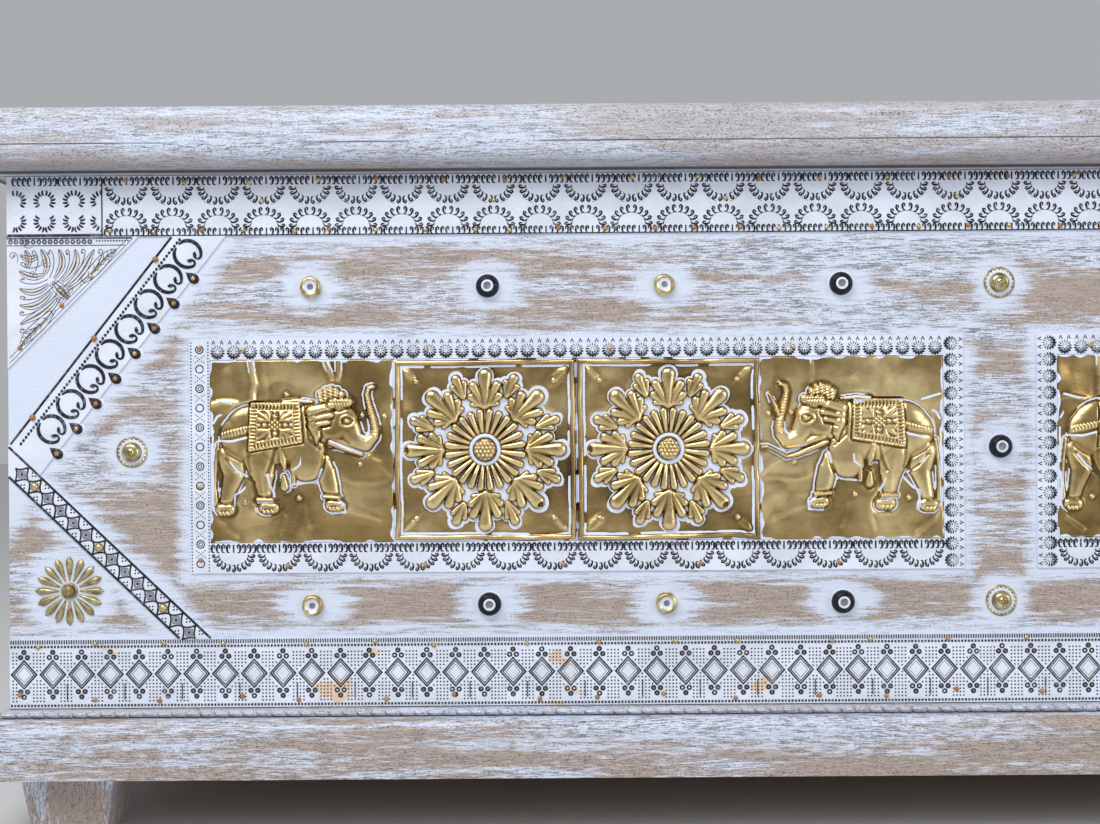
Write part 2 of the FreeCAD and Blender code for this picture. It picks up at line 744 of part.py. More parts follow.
def flower_plate():
    """A square brass sheet beaten into a many-petalled flower inside a raised frame."""
    body = new_body()
    half = "plate_size / 2"
    square = box_outline((f"-{half}", half), (f"-{half}", half))
    pad(body, "XZ_Plane", [square], "tin_thick")
    outer = f"({half} - frame_inset)"
    inner = f"({outer} - frame_width)"
    frame = [box_outline((f"-{reach}", reach), (f"-{reach}", reach)) for reach in (outer, inner)]
    pad(body, "XZ_Plane", frame, "tin_thick + frame_rise")
    beaten = (
        (radial(PETAL_SHARES, "plate_size"), PETALS, "petal_rise"),
        (radial(LARGE_LEAF_SHARES, "plate_size"), LEAVES, "large_leaf_rise"),
        (turned_by(radial(SMALL_LEAF_SHARES, "plate_size"), 180 / LEAVES), LEAVES, "small_leaf_rise"),
    )
    for points, count, rise in beaten:
        around(body, pad(body, "XZ_Plane", [points], f"tin_thick + {rise}"), count)
    boss = dome("boss_radius", "tin_thick + boss_rise", "boss_rise / 2")
    return fused([body, place(boss, "0", "0", "0", OUTWARD)])


def raised(shares, size, thick):
    """A closed outline of lines and arcs, raised towards the front from the back of a plate."""
    def spot(x, z):
        return FreeCAD.Vector((x - 0.5) * size, 0, (z - 0.5) * size)

    edges = []
    for point, following in zip(shares, shares[1:] + shares[:1]):
        start, end = spot(*point[:2]), spot(*following[:2])
        curve = Part.Arc(start, spot(*point[2:]), end) if len(point) > 2 else Part.LineSegment(start, end)
        edges.append(curve.toShape())
    return Part.Face(Part.Wire(edges)).extrude(FreeCAD.Vector(0, -thick, 0))


def elephant_plate():
    """A square brass sheet beaten into a walking elephant with a saddle cloth and an ear."""
    size = value("plate_size")
    thick = value("tin_thick")
    rise = thick + value("elephant_rise")
    metal = Part.makeBox(size, thick, size, FreeCAD.Vector(-size / 2, -thick, -size / 2))
    beast = raised(ELEPHANT_SHARES, size, rise)
    cloth = raised(CLOTH_SHARES, size, rise + value("cloth_rise"))
    ear = raised(EAR_SHARES, size, rise + value("ear_rise"))
    plate = doc.addObject("Part::Feature", "elephant_plate")
    plate.Shape = metal.fuse([beast, cloth, ear]).removeSplitter()
    return plate


def plates():
    """Two panels of four brass plates: elephants at the outsides looking in, flowers between."""
    flower = flower_plate()
    elephant = elephant_plate()
    backwards = doc.addObject("Part::Mirroring", "backwards")
    backwards.Source = elephant
    backwards.Normal = FreeCAD.Vector(1, 0, 0)
    pieces = (("elephant_left", elephant), ("flower_left", flower), ("flower_right", flower))
    pieces += (("elephant_right", backwards),)
    for panel, side in (("left", -1), ("right", 1)):
        for step, (name, plate) in zip(row(PLATES_PER_PANEL, "plate_size"), pieces):
            x = f"{side} * {PANEL_MIDDLE} + {step}"
            node(f"{panel}_panel_{name}", group([copy(plate, x, FRONT, PLATE_MIDDLE)]))


def rosettes():
    """A small brass flower in each lower corner."""
    body = new_body()
    petal = radial(ROSETTE_PETAL_SHARES, "rosette_radius")
    around(body, pad(body, "XZ_Plane", [petal], "tin_thick"), ROSETTE_PETALS)
    middle = dome("boss_radius", "tin_thick + petal_rise", "petal_rise")
    flower = fused([body, place(middle, "0", "0", "0", OUTWARD)])
    x = f"({HALF_LENGTH} - rosette_inset)"
    z = f"{FIELD_LOW} + rosette_rise"
    node("corner_rosettes", group([copy(flower, place, FRONT, z) for place in (f"-{x}", x)]))


def shank():
    """The square shank of a stud, below its head."""
    half = ("-shank_width / 2", "shank_width / 2")
    return block(half, half, ("-shank_length", "0"))


def domed_stud(radius, height):
    """A plain domed head on a shank."""
    return fused([dome(radius, height, f"{STUD_BEVEL_SHARE} * {height}"), shank()])


def scalloped_stud():
    """A domed stud on a scalloped washer."""
    rim = []
    for index in range(2 * SCALLOPS):
        rim += turned_by([(f"{SCALLOP_SHARES[index % 2]} * flower_stud_radius", "0")], 180 * index / SCALLOPS)
    washer = new_body()
    pad(washer, "XY_Plane", [rim], "tin_thick")
    head = dome("flower_dome_radius", "flower_stud_height", "flower_stud_height / 2")
    return fused([washer, head, shank()])


def studs():
    """Brass, black and flower-shaped studs on the front."""
    heads = (
        ("brass_studs", domed_stud("brass_stud_radius", "brass_stud_height")),
        ("black_studs", domed_stud("black_stud_radius", "black_stud_height")),
        ("flower_studs", scalloped_stud()),
    )
    for (name, head), places in zip(heads, stud_places()):
        node(name, group([copy(head, x, FRONT, z, OUTWARD) for x, z in places]))


def build():
    """Makes every piece, in the order a joiner would."""
    inner = f"({FRONT} + board_thick)"
    long_boards("front", FRONT, inner, shank_holes())
    long_boards("rear", HALF_DEPTH, INNER_DEPTH, leaf_seats((f"{BODY_TOP} - leaf_thick", BODY_TOP)))
    end_boards("left_end", -1)
    end_boards("right_end", 1)
    cleats()
    floor_planks()
    corner_posts()
    feet()
    base_mouldings()
    lid_planks()
    lid_battens()
    lid_mouldings()
    hinges()
    strips()
    braces()
    panel_borders()
    plates()
    rosettes()
    studs()


def check_and_export():
    """Stops at anything unsound, then writes one file for each piece."""
    doc.recompute()
    for thing in doc.Objects:
        if "Invalid" in thing.State or "Error" in thing.State:
            raise RuntimeError(f"{thing.Name} ({thing.Label}) did not build: {thing.State}")
    for thing in nodes:
        if thing.Shape.isNull() or not thing.Shape.isValid() or not thing.Shape.Solids:
            raise RuntimeError(f"{thing.Label} has no sound shape")
    os.makedirs("parts", exist_ok=True)
    for thing in nodes:
        thing.Shape.exportStep(f"parts/{thing.Label}.step")
        print(thing.Label, len(thing.Shape.Solids), thing.Shape.BoundBox)


build()
check_and_export()
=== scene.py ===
from collections import namedtuple
from math import atan2, cos, hypot, pi, radians, sin, sqrt, tau

import bpy
import numpy as np
from bpy.props import FloatProperty, FloatVectorProperty, IntProperty, PointerProperty
from mathutils import Euler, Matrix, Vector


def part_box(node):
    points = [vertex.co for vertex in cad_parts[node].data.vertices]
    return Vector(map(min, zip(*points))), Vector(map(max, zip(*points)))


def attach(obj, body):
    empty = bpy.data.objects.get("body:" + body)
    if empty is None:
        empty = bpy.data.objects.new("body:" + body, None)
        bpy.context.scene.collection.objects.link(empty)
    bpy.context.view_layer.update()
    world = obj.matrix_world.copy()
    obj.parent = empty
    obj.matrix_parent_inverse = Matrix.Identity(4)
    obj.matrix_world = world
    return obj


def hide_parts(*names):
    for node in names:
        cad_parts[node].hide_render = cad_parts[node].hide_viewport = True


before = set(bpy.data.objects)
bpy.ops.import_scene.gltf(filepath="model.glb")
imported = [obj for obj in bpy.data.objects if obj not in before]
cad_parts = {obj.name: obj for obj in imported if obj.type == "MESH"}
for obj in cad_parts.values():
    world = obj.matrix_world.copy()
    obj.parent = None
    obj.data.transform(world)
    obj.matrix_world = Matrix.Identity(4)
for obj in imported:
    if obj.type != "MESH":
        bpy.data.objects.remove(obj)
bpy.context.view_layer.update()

bl_info = {
    "name": "Whitewashed storage chest",
    "version": (1, 0, 0),
    "blender": (4, 5, 0),
    "location": "View3D > Sidebar > Chest",
    "description": "Dresses the chest's CAD model with whitewashed wood, stamped tin and beaten brass",
    "category": "Object",
}

MM = 0.001
CARCASS = "chest_body"


def sheet(node):
    """Low X, high X, low Z and high Z of a node on the front."""
    low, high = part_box(node)
    return low.x, high.x, low.z, high.z


# Places on the front, read from the CAD nodes, in metres
WOOD_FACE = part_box("front_upper_board")[0].y
TIN_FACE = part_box("top_strip")[0].y
_, STRIP_END, STRIP_LOW, STRIP_TOP = sheet("top_strip")
_, END, BOTTOM_LOW, BOTTOM_TOP = sheet("bottom_strip")
PANEL_NEAR, PANEL_FAR, PANEL_LOW, PANEL_TOP = sheet("right_panel_border")
PLATE_NEAR, _, PLATE_LOW, PLATE_TOP = sheet("right_panel_elephant_left")
PLATE_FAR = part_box("right_panel_elephant_right")[1].x
PLATE_SIZE = PLATE_TOP - PLATE_LOW
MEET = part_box("lower_brace_strips")[1].z
BRACE_RUN = 98 * MM
LOWER_RUN = 122 * MM
LOWER_WIDTH = 14.5 * MM
LEAF_LEG = STRIP_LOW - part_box("leaf_corner_plates")[0].z
UPPER_STUDS = (STRIP_LOW + PANEL_TOP) / 2
LOWER_STUDS = (BOTTOM_TOP + PANEL_LOW) / 2
STUDS_IN_ROW = 4
STUD_PITCH = 106 * MM
FIRST_STUD = (PANEL_NEAR + PANEL_FAR) / 2 - (STUDS_IN_ROW - 1) / 2 * STUD_PITCH
END_STUD = 521 * MM
END_STUD_UP = 234 * MM
ROSETTE_X = END - 36 * MM
ROSETTE_Z = BOTTOM_TOP + 29 * MM

# The lid's outer corner, its lower edge and the crack along its edge
LID_SIDE, LID_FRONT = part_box("lid_moulding_front")[1].x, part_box("lid_moulding_front")[0].y
LID_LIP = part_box("lid_moulding_front")[0].z
LID_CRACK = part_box("lid_front_plank")[0].z - 1 * MM

SIDES = ("left", "right")
Shape = namedtuple("Shape", "points faces")
Copy = namedtuple("Copy", "shape x z turn wide tall", defaults=(0.0, 1.0, 1.0))


# Settings a user would change

def shade(name, words, colour):
    """A colour setting."""
    return FloatVectorProperty(
        name=name, description=words, default=colour, subtype="COLOR", size=3, min=0, max=1)


def amount(name, words, value, **more):
    """A setting of one number."""
    return FloatProperty(name=name, description=words, default=value, **more)


def length(name, words, size):
    """A length setting in metres."""
    return amount(name, words, size, unit="LENGTH", min=0)


class ChestFinish(bpy.types.PropertyGroup):
    """Colours of the chest."""
    whitewash: shade("Whitewash", "Thin white paint on the wood", (0.66, 0.72, 0.86))
    tan_wood: shade("Tan wood", "Wood that shows where the whitewash is worn", (0.34, 0.245, 0.175))
    grain_grey: shade("Grain", "Dark lines of the brushed grain", (0.19, 0.185, 0.205))
    bare_wood: shade("Bare wood", "Unpainted wood inside the chest", (0.36, 0.22, 0.11))
    tin_white: shade("White tin", "Painted sheet of the stamped strips", (0.71, 0.76, 0.88))
    stamp_black: shade("Stamped black", "Dark colour of the stamped figures", (0.012, 0.014, 0.02))
    # In the beaten plates the gold is partly painted highlight on the crests, and the darkened tarnish
    # partly painted shade in the hollows
    brass_gold: shade("Brass", "Polished high places of the brass", (0.82, 0.65, 0.34))
    brass_brown: shade("Tarnish", "Tarnish on the flat of the brass", (0.39, 0.265, 0.105))
    pale_brass: shade("Pale brass", "Paler brass of the ringed studs", (0.86, 0.79, 0.47))
    rust: shade("Rust", "Rusty tack heads", (0.40, 0.17, 0.055))
    stain: shade("Stain", "Rust that has bled through the paint of the tin", (0.74, 0.45, 0.20))
    iron: shade("Iron", "Hinges", (0.06, 0.055, 0.05))


class ChestRelief(bpy.types.PropertyGroup):
    """Beaten relief of the brass plates."""
    grid: IntProperty(name="Grid", description="Faces along a plate's side", default=230, min=20, max=300)
    petals: IntProperty(name="Petals", description="Petals round the flower's boss", default=24, min=6)
    petal_rise: length("Petal rise", "Height of the petals", 3 * MM)
    leaf_rise: length("Leaf rise", "Height of the eight large leaves", 3.4 * MM)
    boss_rise: length("Boss rise", "Height of the flower's boss", 4 * MM)
    frame_rise: length("Frame rise", "Height of the ridge round a flower", 1.6 * MM)
    beast_rise: length("Elephant rise", "Height of the elephant's body", 4.2 * MM)
    paint_line: length("Paint line", "Width of the white line round a figure", 1.3 * MM)


class ChestStamping(bpy.types.PropertyGroup):
    """Pitches of the stamped figures."""
    arc_pitch: length("Arc pitch", "Pitch of the arcs on the top strip", 27.6 * MM)
    loop_pitch: length("Loop pitch", "Pitch of the loops in the border rows", 3.1 * MM)
    diamond_pitch: length("Diamond pitch", "Pitch of the diamonds on the bottom strip", 17.2 * MM)
    dot_pitch: length("Dot pitch", "Pitch of the fine dots on the bottom strip", 2.05 * MM)
    scroll_pitch: length("Scroll pitch", "Pitch of the scrolls on the upper slanting strips", 19 * MM)
    square_pitch: length("Square pitch", "Pitch of the squares on the lower slanting strips", 10.6 * MM)
    rosette_pitch: length("Rosette pitch", "Pitch of the rosettes over the plates", 9.8 * MM)
    ring_pitch: length("Ring pitch", "Pitch of the rings beside the plates", 11.6 * MM)
    rope_pitch: length("Rope pitch", "Pitch of the twist in the base's roped bead", 8.5 * MM)


class ChestStage(bpy.types.PropertyGroup):
    """Camera and light."""
    distance: length("Distance", "From the camera to the front", 0.917)
    aim_x: amount("Aim along", "Camera's place along the front", -0.27, unit="LENGTH")
    aim_z: amount("Aim up", "Camera's height", 0.2564, unit="LENGTH")
    lens: amount("Lens", "Focal length in millimetres", 50, min=10)
    roll: amount("Roll", "Turn of the camera", radians(0.4), unit="ROTATION")
    key: amount("Key light", "Power of the large light over the front", 34, unit="POWER")
    fill: amount("Fill light", "Power of the light from the right", 11, unit="POWER")
    room: amount("Room light", "Strength of the even light all round", 0.43)
    floor: shade("Floor", "Pale floor", (0.72, 0.72, 0.72))


GROUPS = {
    "chest_finish": ChestFinish,
    "chest_relief": ChestRelief,
    "chest_stamping": ChestStamping,
    "chest_stage": ChestStage,
}


def settings(group):
    """One group of the scene's settings."""
    return getattr(bpy.context.scene, "chest_" + group)


# Modelling by hand; sizes of rings, dots, bars and drops are in millimetres

def clear():
    """Leaves edit mode with nothing selected."""
    if bpy.context.object and bpy.context.object.mode != "OBJECT":
        bpy.ops.object.mode_set(mode="OBJECT")
    bpy.ops.object.select_all(action="DESELECT")


def hold(piece):
    """Selects one piece alone."""
    clear()
    piece.select_set(True)
    bpy.context.view_layer.objects.active = piece
    return piece


def open_mesh():
    """Goes into edit mode on the active piece with all of it selected."""
    hold(bpy.context.object)
    bpy.ops.object.mode_set(mode="EDIT")
    bpy.ops.mesh.select_all(action="SELECT")


def linked(name, data):
    """A new object in the scene."""
    piece = bpy.data.objects.new(name, data)
    bpy.context.scene.collection.objects.link(piece)
    return piece


def close_mesh():
    """Leaves edit mode and gives the piece."""
    bpy.ops.object.mode_set(mode="OBJECT")
    return bpy.context.object


def taken(piece):
    """The modelled shape as points and faces for copying; the piece itself goes."""
    mesh = piece.data
    points = np.empty(len(mesh.vertices) * 3)
    mesh.vertices.foreach_get("co", points)
    shape = Shape(points.reshape(-1, 3), [tuple(face.vertices) for face in mesh.polygons])
    bpy.data.objects.remove(piece)
    return shape


def cut_back():
    """Cuts off what lies behind the sheet, leaving the raised half open at the back."""
    bpy.ops.mesh.select_all(action="SELECT")
    bpy.ops.mesh.bisect(plane_co=(0, 0, 0), plane_no=(0, 0, 1), clear_inner=True)


def beaten_ring(radius, thick, around=10, rise=1.0):
    """A raised ring, as a punch leaves it."""
    clear()
    bpy.ops.mesh.primitive_torus_add(
        major_radius=radius * MM, minor_radius=thick * MM, major_segments=around, minor_segments=4)
    open_mesh()
    bpy.ops.transform.resize(value=(1, 1, rise))
    cut_back()
    return taken(close_mesh())


def beaten_dot(radius, rise, sides=5):
    """A small pointed dot."""
    clear()
    rise *= MM
    bpy.ops.mesh.primitive_cone_add(
        vertices=sides, radius1=radius * MM, depth=rise, end_fill_type="NOTHING", location=(0, 0, rise / 2))
    open_mesh()
    bpy.ops.mesh.normals_make_consistent(inside=False)
    shape = taken(close_mesh())
    return Shape(shape.points + np.array((0, 0, rise / 2)), shape.faces)


def beaten_bar(wide, tall, rise):
    """A small raised bar with a narrower top."""
    clear()
    bpy.ops.mesh.primitive_cube_add(size=1)
    open_mesh()
    bpy.ops.transform.resize(value=(wide * MM, tall * MM, 2 * rise * MM))
    cut_back()
    bpy.ops.mesh.select_all(action="DESELECT")
    piece = close_mesh()
    for corner in piece.data.vertices:
        corner.select = corner.co.z > rise * MM / 2
    bpy.ops.object.mode_set(mode="EDIT")
    bpy.ops.transform.resize(value=(0.75, 0.75, 1))
    return taken(close_mesh())


def beaten_drop(long, wide, rise, sides=10):
    """A round-ended drop that comes to a point towards -X."""
    clear()
    bpy.ops.mesh.primitive_uv_sphere_add(segments=sides, ring_count=6, radius=1)
    open_mesh()
    cut_back()
    piece = close_mesh()
    for corner in piece.data.vertices:
        share = (1 - corner.co.x) / 2
        corner.co.y *= wide * MM * (1 - share ** 2.2)
        corner.co.z *= rise * MM * (1 - 0.8 * share ** 2)
        corner.co.x *= long * MM
    return taken(piece)


def beaten_line(paths, thick, flat=0.6, round_steps=0, closed=False):
    """Raised lines along paths of (x, y, width share), drawn as a curve and made a mesh."""
    curve = bpy.data.curves.new("line", "CURVE")
    curve.dimensions = "3D"
    curve.bevel_depth = thick
    curve.bevel_resolution = round_steps
    curve.use_fill_caps = True
    for path in paths:
        spline = curve.splines.new("POLY")
        spline.points.add(len(path) - 1)
        for point, (x, y, share) in zip(spline.points, path):
            point.co = (x, y, 0, 1)
            point.radius = share
        spline.use_cyclic_u = closed
    hold(linked("line", curve))
    bpy.ops.object.convert(target="MESH")
    open_mesh()
    bpy.ops.transform.resize(value=(1, 1, flat))
    return taken(close_mesh())


def in_mm(points, along_x=1, along_y=1):
    """Points of (x, y) or (x, y, width share) in millimetres, as (x, y, width share) in metres."""
    return [(along_x * x * MM, along_y * y * MM, *(share or (1.0,))) for x, y, *share in points]


def smooth_path(points, steps=6):
    """Points of (x, y, width share) joined by a smooth line."""
    nodes = [points[0]] + list(points) + [points[-1]]
    path = []
    for near in zip(nodes, nodes[1:], nodes[2:], nodes[3:]):
        for t in (step / steps for step in range(steps)):
            path.append(tuple(
                0.5 * (2 * b + (c - a) * t
                       + (2 * a - 5 * b + 4 * c - d) * t ** 2
                       + (3 * b - a - 3 * c + d) * t ** 3)
                for a, b, c, d in zip(*near)))
    return path + [tuple(points[-1])]


def arc_path(radius_x, radius_y, start, end, steps, share=1.0):
    """Points along part of an ellipse, in degrees."""
    turns = np.radians(np.linspace(start, end, steps))
    return [(radius_x * cos(t), radius_y * sin(t), share) for t in turns]


def turned(profile, steps, unit=MM):
    """A turned piece from its profile of (radius, height) in the unit given, spun about Z."""
    profile = [(radius * unit, height * unit) for radius, height in profile]
    clear()
    bpy.ops.mesh.primitive_plane_add(size=1)
    open_mesh()
    bpy.ops.mesh.merge(type="CENTER")
    bpy.ops.transform.translate(value=(profile[0][0], 0, profile[0][1]))
    for (r0, h0), (r1, h1) in zip(profile, profile[1:]):
        bpy.ops.mesh.extrude_region_move(TRANSFORM_OT_translate={"value": (r1 - r0, 0, h1 - h0)})
    bpy.ops.mesh.select_all(action="SELECT")
    bpy.ops.mesh.spin(steps=steps, angle=tau, center=(0, 0, 0), axis=(0, 0, 1))
    bpy.ops.mesh.select_all(action="SELECT")
    bpy.ops.mesh.remove_doubles(threshold=1e-6)
    bpy.ops.mesh.normals_make_consistent(inside=False)
    return taken(close_mesh())


def copies_joined(copies, face):
    """Points and faces of many copies set on the front, whose sheet lies at the depth given."""
    points, faces, start = [], [], 0
    for shape, x, z, turn, wide, tall in copies:
        across, up = shape.points[:, 0] * wide, shape.points[:, 1] * tall
        cosine, sine = cos(turn), sin(turn)
        points.append(np.column_stack(
            (x + cosine * across - sine * up, face - shape.points[:, 2], z + sine * across + cosine * up)))
        for corners in shape.faces:
            order = corners[::-1] if wide * tall < 0 else corners
            faces.append(tuple(corner + start for corner in order))
        start += len(shape.points)
    return np.concatenate(points), faces


def settle(piece, replaced):
    """Rides a finished piece on the carcass and hides the nodes it stands in for."""
    clear()
    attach(piece, CARCASS)
    if replaced:
        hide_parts(*replaced)


def new_piece(name, points, faces, finishes, smooth=40, replaced=()):
    """A finished piece with its place in its mesh."""
    mesh = bpy.data.meshes.new(name)
    mesh.from_pydata(np.asarray(points).tolist(), [], faces)
    mesh.update()
    piece = linked(name, mesh)
    for finish in finishes:
        mesh.materials.append(material(finish))
    hold(piece)
    bpy.ops.object.shade_smooth_by_angle(angle=radians(smooth))
    settle(piece, replaced)
    return piece


def stamped(name, copies, finishes=("stamped_black",), face=TIN_FACE, smooth=40,
            replaced=()):
    """One piece of many copied figures on the front."""
    points, faces = copies_joined(copies, face)
    return new_piece(name, points, faces, finishes, smooth, replaced)


def note(piece, name, values):
    """Stores a number for each point, for the material to read."""
    layer = piece.data.attributes.new(name, "FLOAT", "POINT")
    layer.data.foreach_set("value", np.asarray(values, dtype=np.float32))


def mirrored(copies):
    """The copies and their mirror images at the other end of the chest."""
    return copies + [Copy(c.shape, -c.x, c.z, -c.turn, -c.wide, c.tall) for c in copies]


def both_ends(places):
    """Places of (x, z, more) at the left end, and the same at the right end."""
    return [(side * x, *more) for side in (1, -1) for x, *more in places]


def spaced(start, end, pitch):
    """Even places between two ends, half a step in from each, at about the pitch given."""
    count = int(round((end - start) / pitch))
    step = (end - start) / count
    return [start + (index + 0.5) * step for index in range(count)]


def round_about(number):
    """Even turns round a full circle."""
    return np.linspace(0, tau, number, endpoint=False)


# Materials

class Value:
    """A number reckoned by a material's nodes, that sums are written with."""

    def __init__(self, paint, socket):
        self.paint = paint
        self.socket = socket

    def __add__(self, other):
        return self.paint.sum("ADD", self, other)

    def __sub__(self, other):
        return self.paint.sum("SUBTRACT", self, other)

    def __rsub__(self, other):
        return self.paint.sum("SUBTRACT", other, self)

    def __mul__(self, other):
        return self.paint.sum("MULTIPLY", self, other)

    def __abs__(self):
        return self.paint.sum("ABSOLUTE", self)


class Paint:
    """Adds and joins the nodes of one material."""

    def __init__(self, name):
        self.material = bpy.data.materials.new(name)
        self.material.use_nodes = True
        self.tree = self.material.node_tree
        self.shader = self.tree.nodes["Principled BSDF"]
        self.place = self.add("ShaderNodeTexCoord", {}, "Object")

    def add(self, kind, given, output=0, **choices):
        """A new node, with what is given to its sockets, as the value of one of its outputs."""
        node = self.tree.nodes.new(kind)
        for name, choice in choices.items():
            setattr(node, name, choice)
        for socket, thing in given.items():
            self.put(node.inputs[socket], thing)
        return Value(self, node.outputs[output])

    def put(self, socket, thing):
        """Gives a socket a reckoned value, a colour or a number."""
        if isinstance(thing, Value):
            self.tree.links.new(thing.socket, socket)
        elif hasattr(thing, "__len__"):
            socket.default_value = (*thing[:3], 1.0) if len(socket.default_value) == 4 else thing[:3]
        else:
            socket.default_value = thing

    def sum(self, operation, *things, clamp=False):
        """One sum of numbers."""
        return self.add("ShaderNodeMath", dict(enumerate(things)), operation=operation, use_clamp=clamp)

    def least(self, things):
        """The least of several numbers."""
        low = things[0]
        for thing in things[1:]:
            low = self.sum("MINIMUM", low, thing)
        return low

    def axes(self):
        """The place in metres along X, Y and Z."""
        along_x = self.add("ShaderNodeSeparateXYZ", {0: self.place})
        return [Value(self, socket) for socket in along_x.socket.node.outputs]

    def noise(self, scale, detail=3.0, rough=0.55, shift=(0, 0, 0)):
        """Cloudy pattern; its scale is one number or three."""
        scale = (scale, scale, scale) if np.isscalar(scale) else scale
        place = self.add("ShaderNodeMapping", {"Vector": self.place, "Scale": scale, "Location": shift})
        given = {"Vector": place, "Scale": 1.0, "Detail": detail, "Roughness": rough}
        return self.add("ShaderNodeTexNoise", given, "Fac")

    def step(self, thing, low, high, first=0.0, last=1.0):
        """Goes smoothly from first to last as a number goes from low to high."""
        given = dict(enumerate((thing, low, high, first, last)))
        return self.add("ShaderNodeMapRange", given, interpolation_type="SMOOTHSTEP")

    def mix(self, share, first, second):
        """A colour between two."""
        return self.add("ShaderNodeMix", {0: share, 6: first, 7: second}, 2, data_type="RGBA")

    def noted(self, name):
        """A number stored for each point."""
        return self.add("ShaderNodeAttribute", {}, "Fac", attribute_name=name)

    def bump(self, height, distance, strength):
        """Fine unevenness of the surface."""
        given = {"Height": height, "Distance": distance, "Strength": strength}
        self.put(self.shader.inputs["Normal"], self.add("ShaderNodeBump", given))

    def done(self, colour, rough, metal=0.0):
        """The finished material."""
        for socket, thing in (("Base Color", colour), ("Roughness", rough), ("Metallic", metal)):
            self.put(self.shader.inputs[socket], thing)
        return self.material


def tinted(colour, share):
    """A colour made lighter or darker."""
    return tuple(min(1.0, part * share) for part in colour)


def along(run, long, across):
    """Pattern scale that is stretched along the way the grain runs."""
    return tuple(long if axis == run else across for axis in "xyz")


def fitting_gap(paint):
    """How far a place on the front lies from the nearest metal, in metres."""
    x, _, z = paint.axes()
    out = abs(x)

    def reach(a, b, radius):
        return paint.sum("SQRT", a * a + b * b) - radius

    panel = paint.sum(
        "MAXIMUM",
        abs(out - (PANEL_NEAR + PANEL_FAR) / 2) - (PANEL_FAR - PANEL_NEAR) / 2,
        abs(z - (PANEL_LOW + PANEL_TOP) / 2) - (PANEL_TOP - PANEL_LOW) / 2)
    from_first = out - FIRST_STUD
    nearest = paint.sum("ROUND", paint.sum("DIVIDE", from_first, STUD_PITCH))
    nearest = paint.sum("MINIMUM", paint.sum("MAXIMUM", nearest, 0.0), STUDS_IN_ROW - 1)
    beside = from_first - nearest * STUD_PITCH
    row = paint.least([abs(z - UPPER_STUDS), abs(z - LOWER_STUDS)])
    column = paint.least([row, abs(z - END_STUD_UP)])
    inward = END - out
    upward = z - MEET
    upper = hypot(BRACE_RUN, STRIP_LOW - MEET)
    past_upper = inward * ((STRIP_LOW - MEET) / upper) - upward * (BRACE_RUN / upper)
    lower = hypot(LOWER_RUN, MEET - BOTTOM_TOP)
    past_lower = inward * ((MEET - BOTTOM_TOP) / lower) + upward * (LOWER_RUN / lower)
    return paint.least([
        STRIP_LOW - z,
        z - BOTTOM_TOP,
        panel,
        reach(beside * 0.75, row, 9 * MM),
        reach(out, column, 11 * MM),
        reach(out - END_STUD, z - END_STUD_UP, 12 * MM),
        reach(out - ROSETTE_X, z - ROSETTE_Z, 22 * MM),
        past_upper - 30 * MM,
        abs(past_lower + LOWER_WIDTH / 2) - LOWER_WIDTH / 2,
    ])


# Where the wear of the whitewash begins and is full: from the nearest metal, and how far the brush strays
HALO_WORN = (4 * MM, 11 * MM)
HALO_LINES = (-1 * MM, 6 * MM)
HALO_SPECKS = (0.0, 9 * MM)
HALO_STRAYS = 34 * MM
# The painted shade and painted shadow line at the foot of the lid's edge: in from its outer corner, and up
# from its lower edge
LIP_REACH = (19 * MM, 14 * MM)
LIP_PAINTED_SHADE = (9 * MM, 2 * MM)
LIP_SHADOW_LINE = (1.4 * MM, 0.5 * MM)
# Half the width of the crack along the lid's edge, and of the joints between boards
CRACK_HALF = (0.6 * MM, 0.2 * MM)
JOINT_HALF = (0.8 * MM, 0.2 * MM)
INNER_MARGIN = 0.4 * MM
UNDERSIDE_MARGIN = 0.3 * MM


def whitewash(paint, finish, run, bare=None, halo=False, edge=False, wear=0.84, bald=0.0,
              shift=(0, 0, 0)):
    """Thin white paint brushed over tan wood, worn along the grain; bare inside the chest."""
    broad = paint.noise(along(run, 5, 36), 4, 0.6, shift)
    streak = paint.noise(along(run, 16, 260), 6, 0.7, shift)
    dash = paint.noise(along(run, 110, 1350), 3, 0.65, shift)
    fleck = paint.noise(along(run, 620, 1800), 2, 0.6, shift)
    cover = broad * 0.52 + streak * 0.28 + dash * 0.20
    worn = paint.step(cover, 0.452 - bald, 0.53 - bald)
    lines = paint.step(dash, 0.48, 0.56) * paint.step(streak, 0.30, 0.54)
    lines *= paint.step(worn, 0.0, 1.0, 1.0, 0.5)
    if halo:
        gap = fitting_gap(paint) + (streak - 0.5) * HALO_STRAYS
        worn *= paint.step(gap, *HALO_WORN)
        lines *= paint.step(gap, *HALO_LINES)
    strewn = lines * 0.5 + paint.step(streak, 0.28, 0.6, 0.17, 0.66)
    if halo:
        strewn *= paint.step(gap, *HALO_SPECKS, 0.12, 1.0)
    specks = paint.step(fleck, 0.54, 0.61) * strewn
    tan = paint.mix(streak, tinted(finish.tan_wood, 0.85), tinted(finish.tan_wood, 1.45))
    white = paint.mix(broad, tinted(finish.whitewash, 1.04), tinted(finish.whitewash, 0.93))
    colour = paint.mix(worn * wear, white, tan)
    colour = paint.mix(lines * (0.3 + 0.6 * wear), colour, tinted(finish.grain_grey, 0.75))
    colour = paint.mix(specks, colour, tinted(finish.grain_grey, 0.4))
    # Painted shade and a painted shadow line along the foot of the lid's edge
    if edge:
        colour = shaded_lip_edge(paint, finish, colour, streak, broad)
    if bare:
        colour = bare_inside(paint, finish, colour, run, bare, halo)
    paint.bump(streak * 0.7 + dash, 0.5 * MM, 0.45)
    return paint.done(colour, paint.step(cover, 0.3, 0.7, 0.55, 0.75))


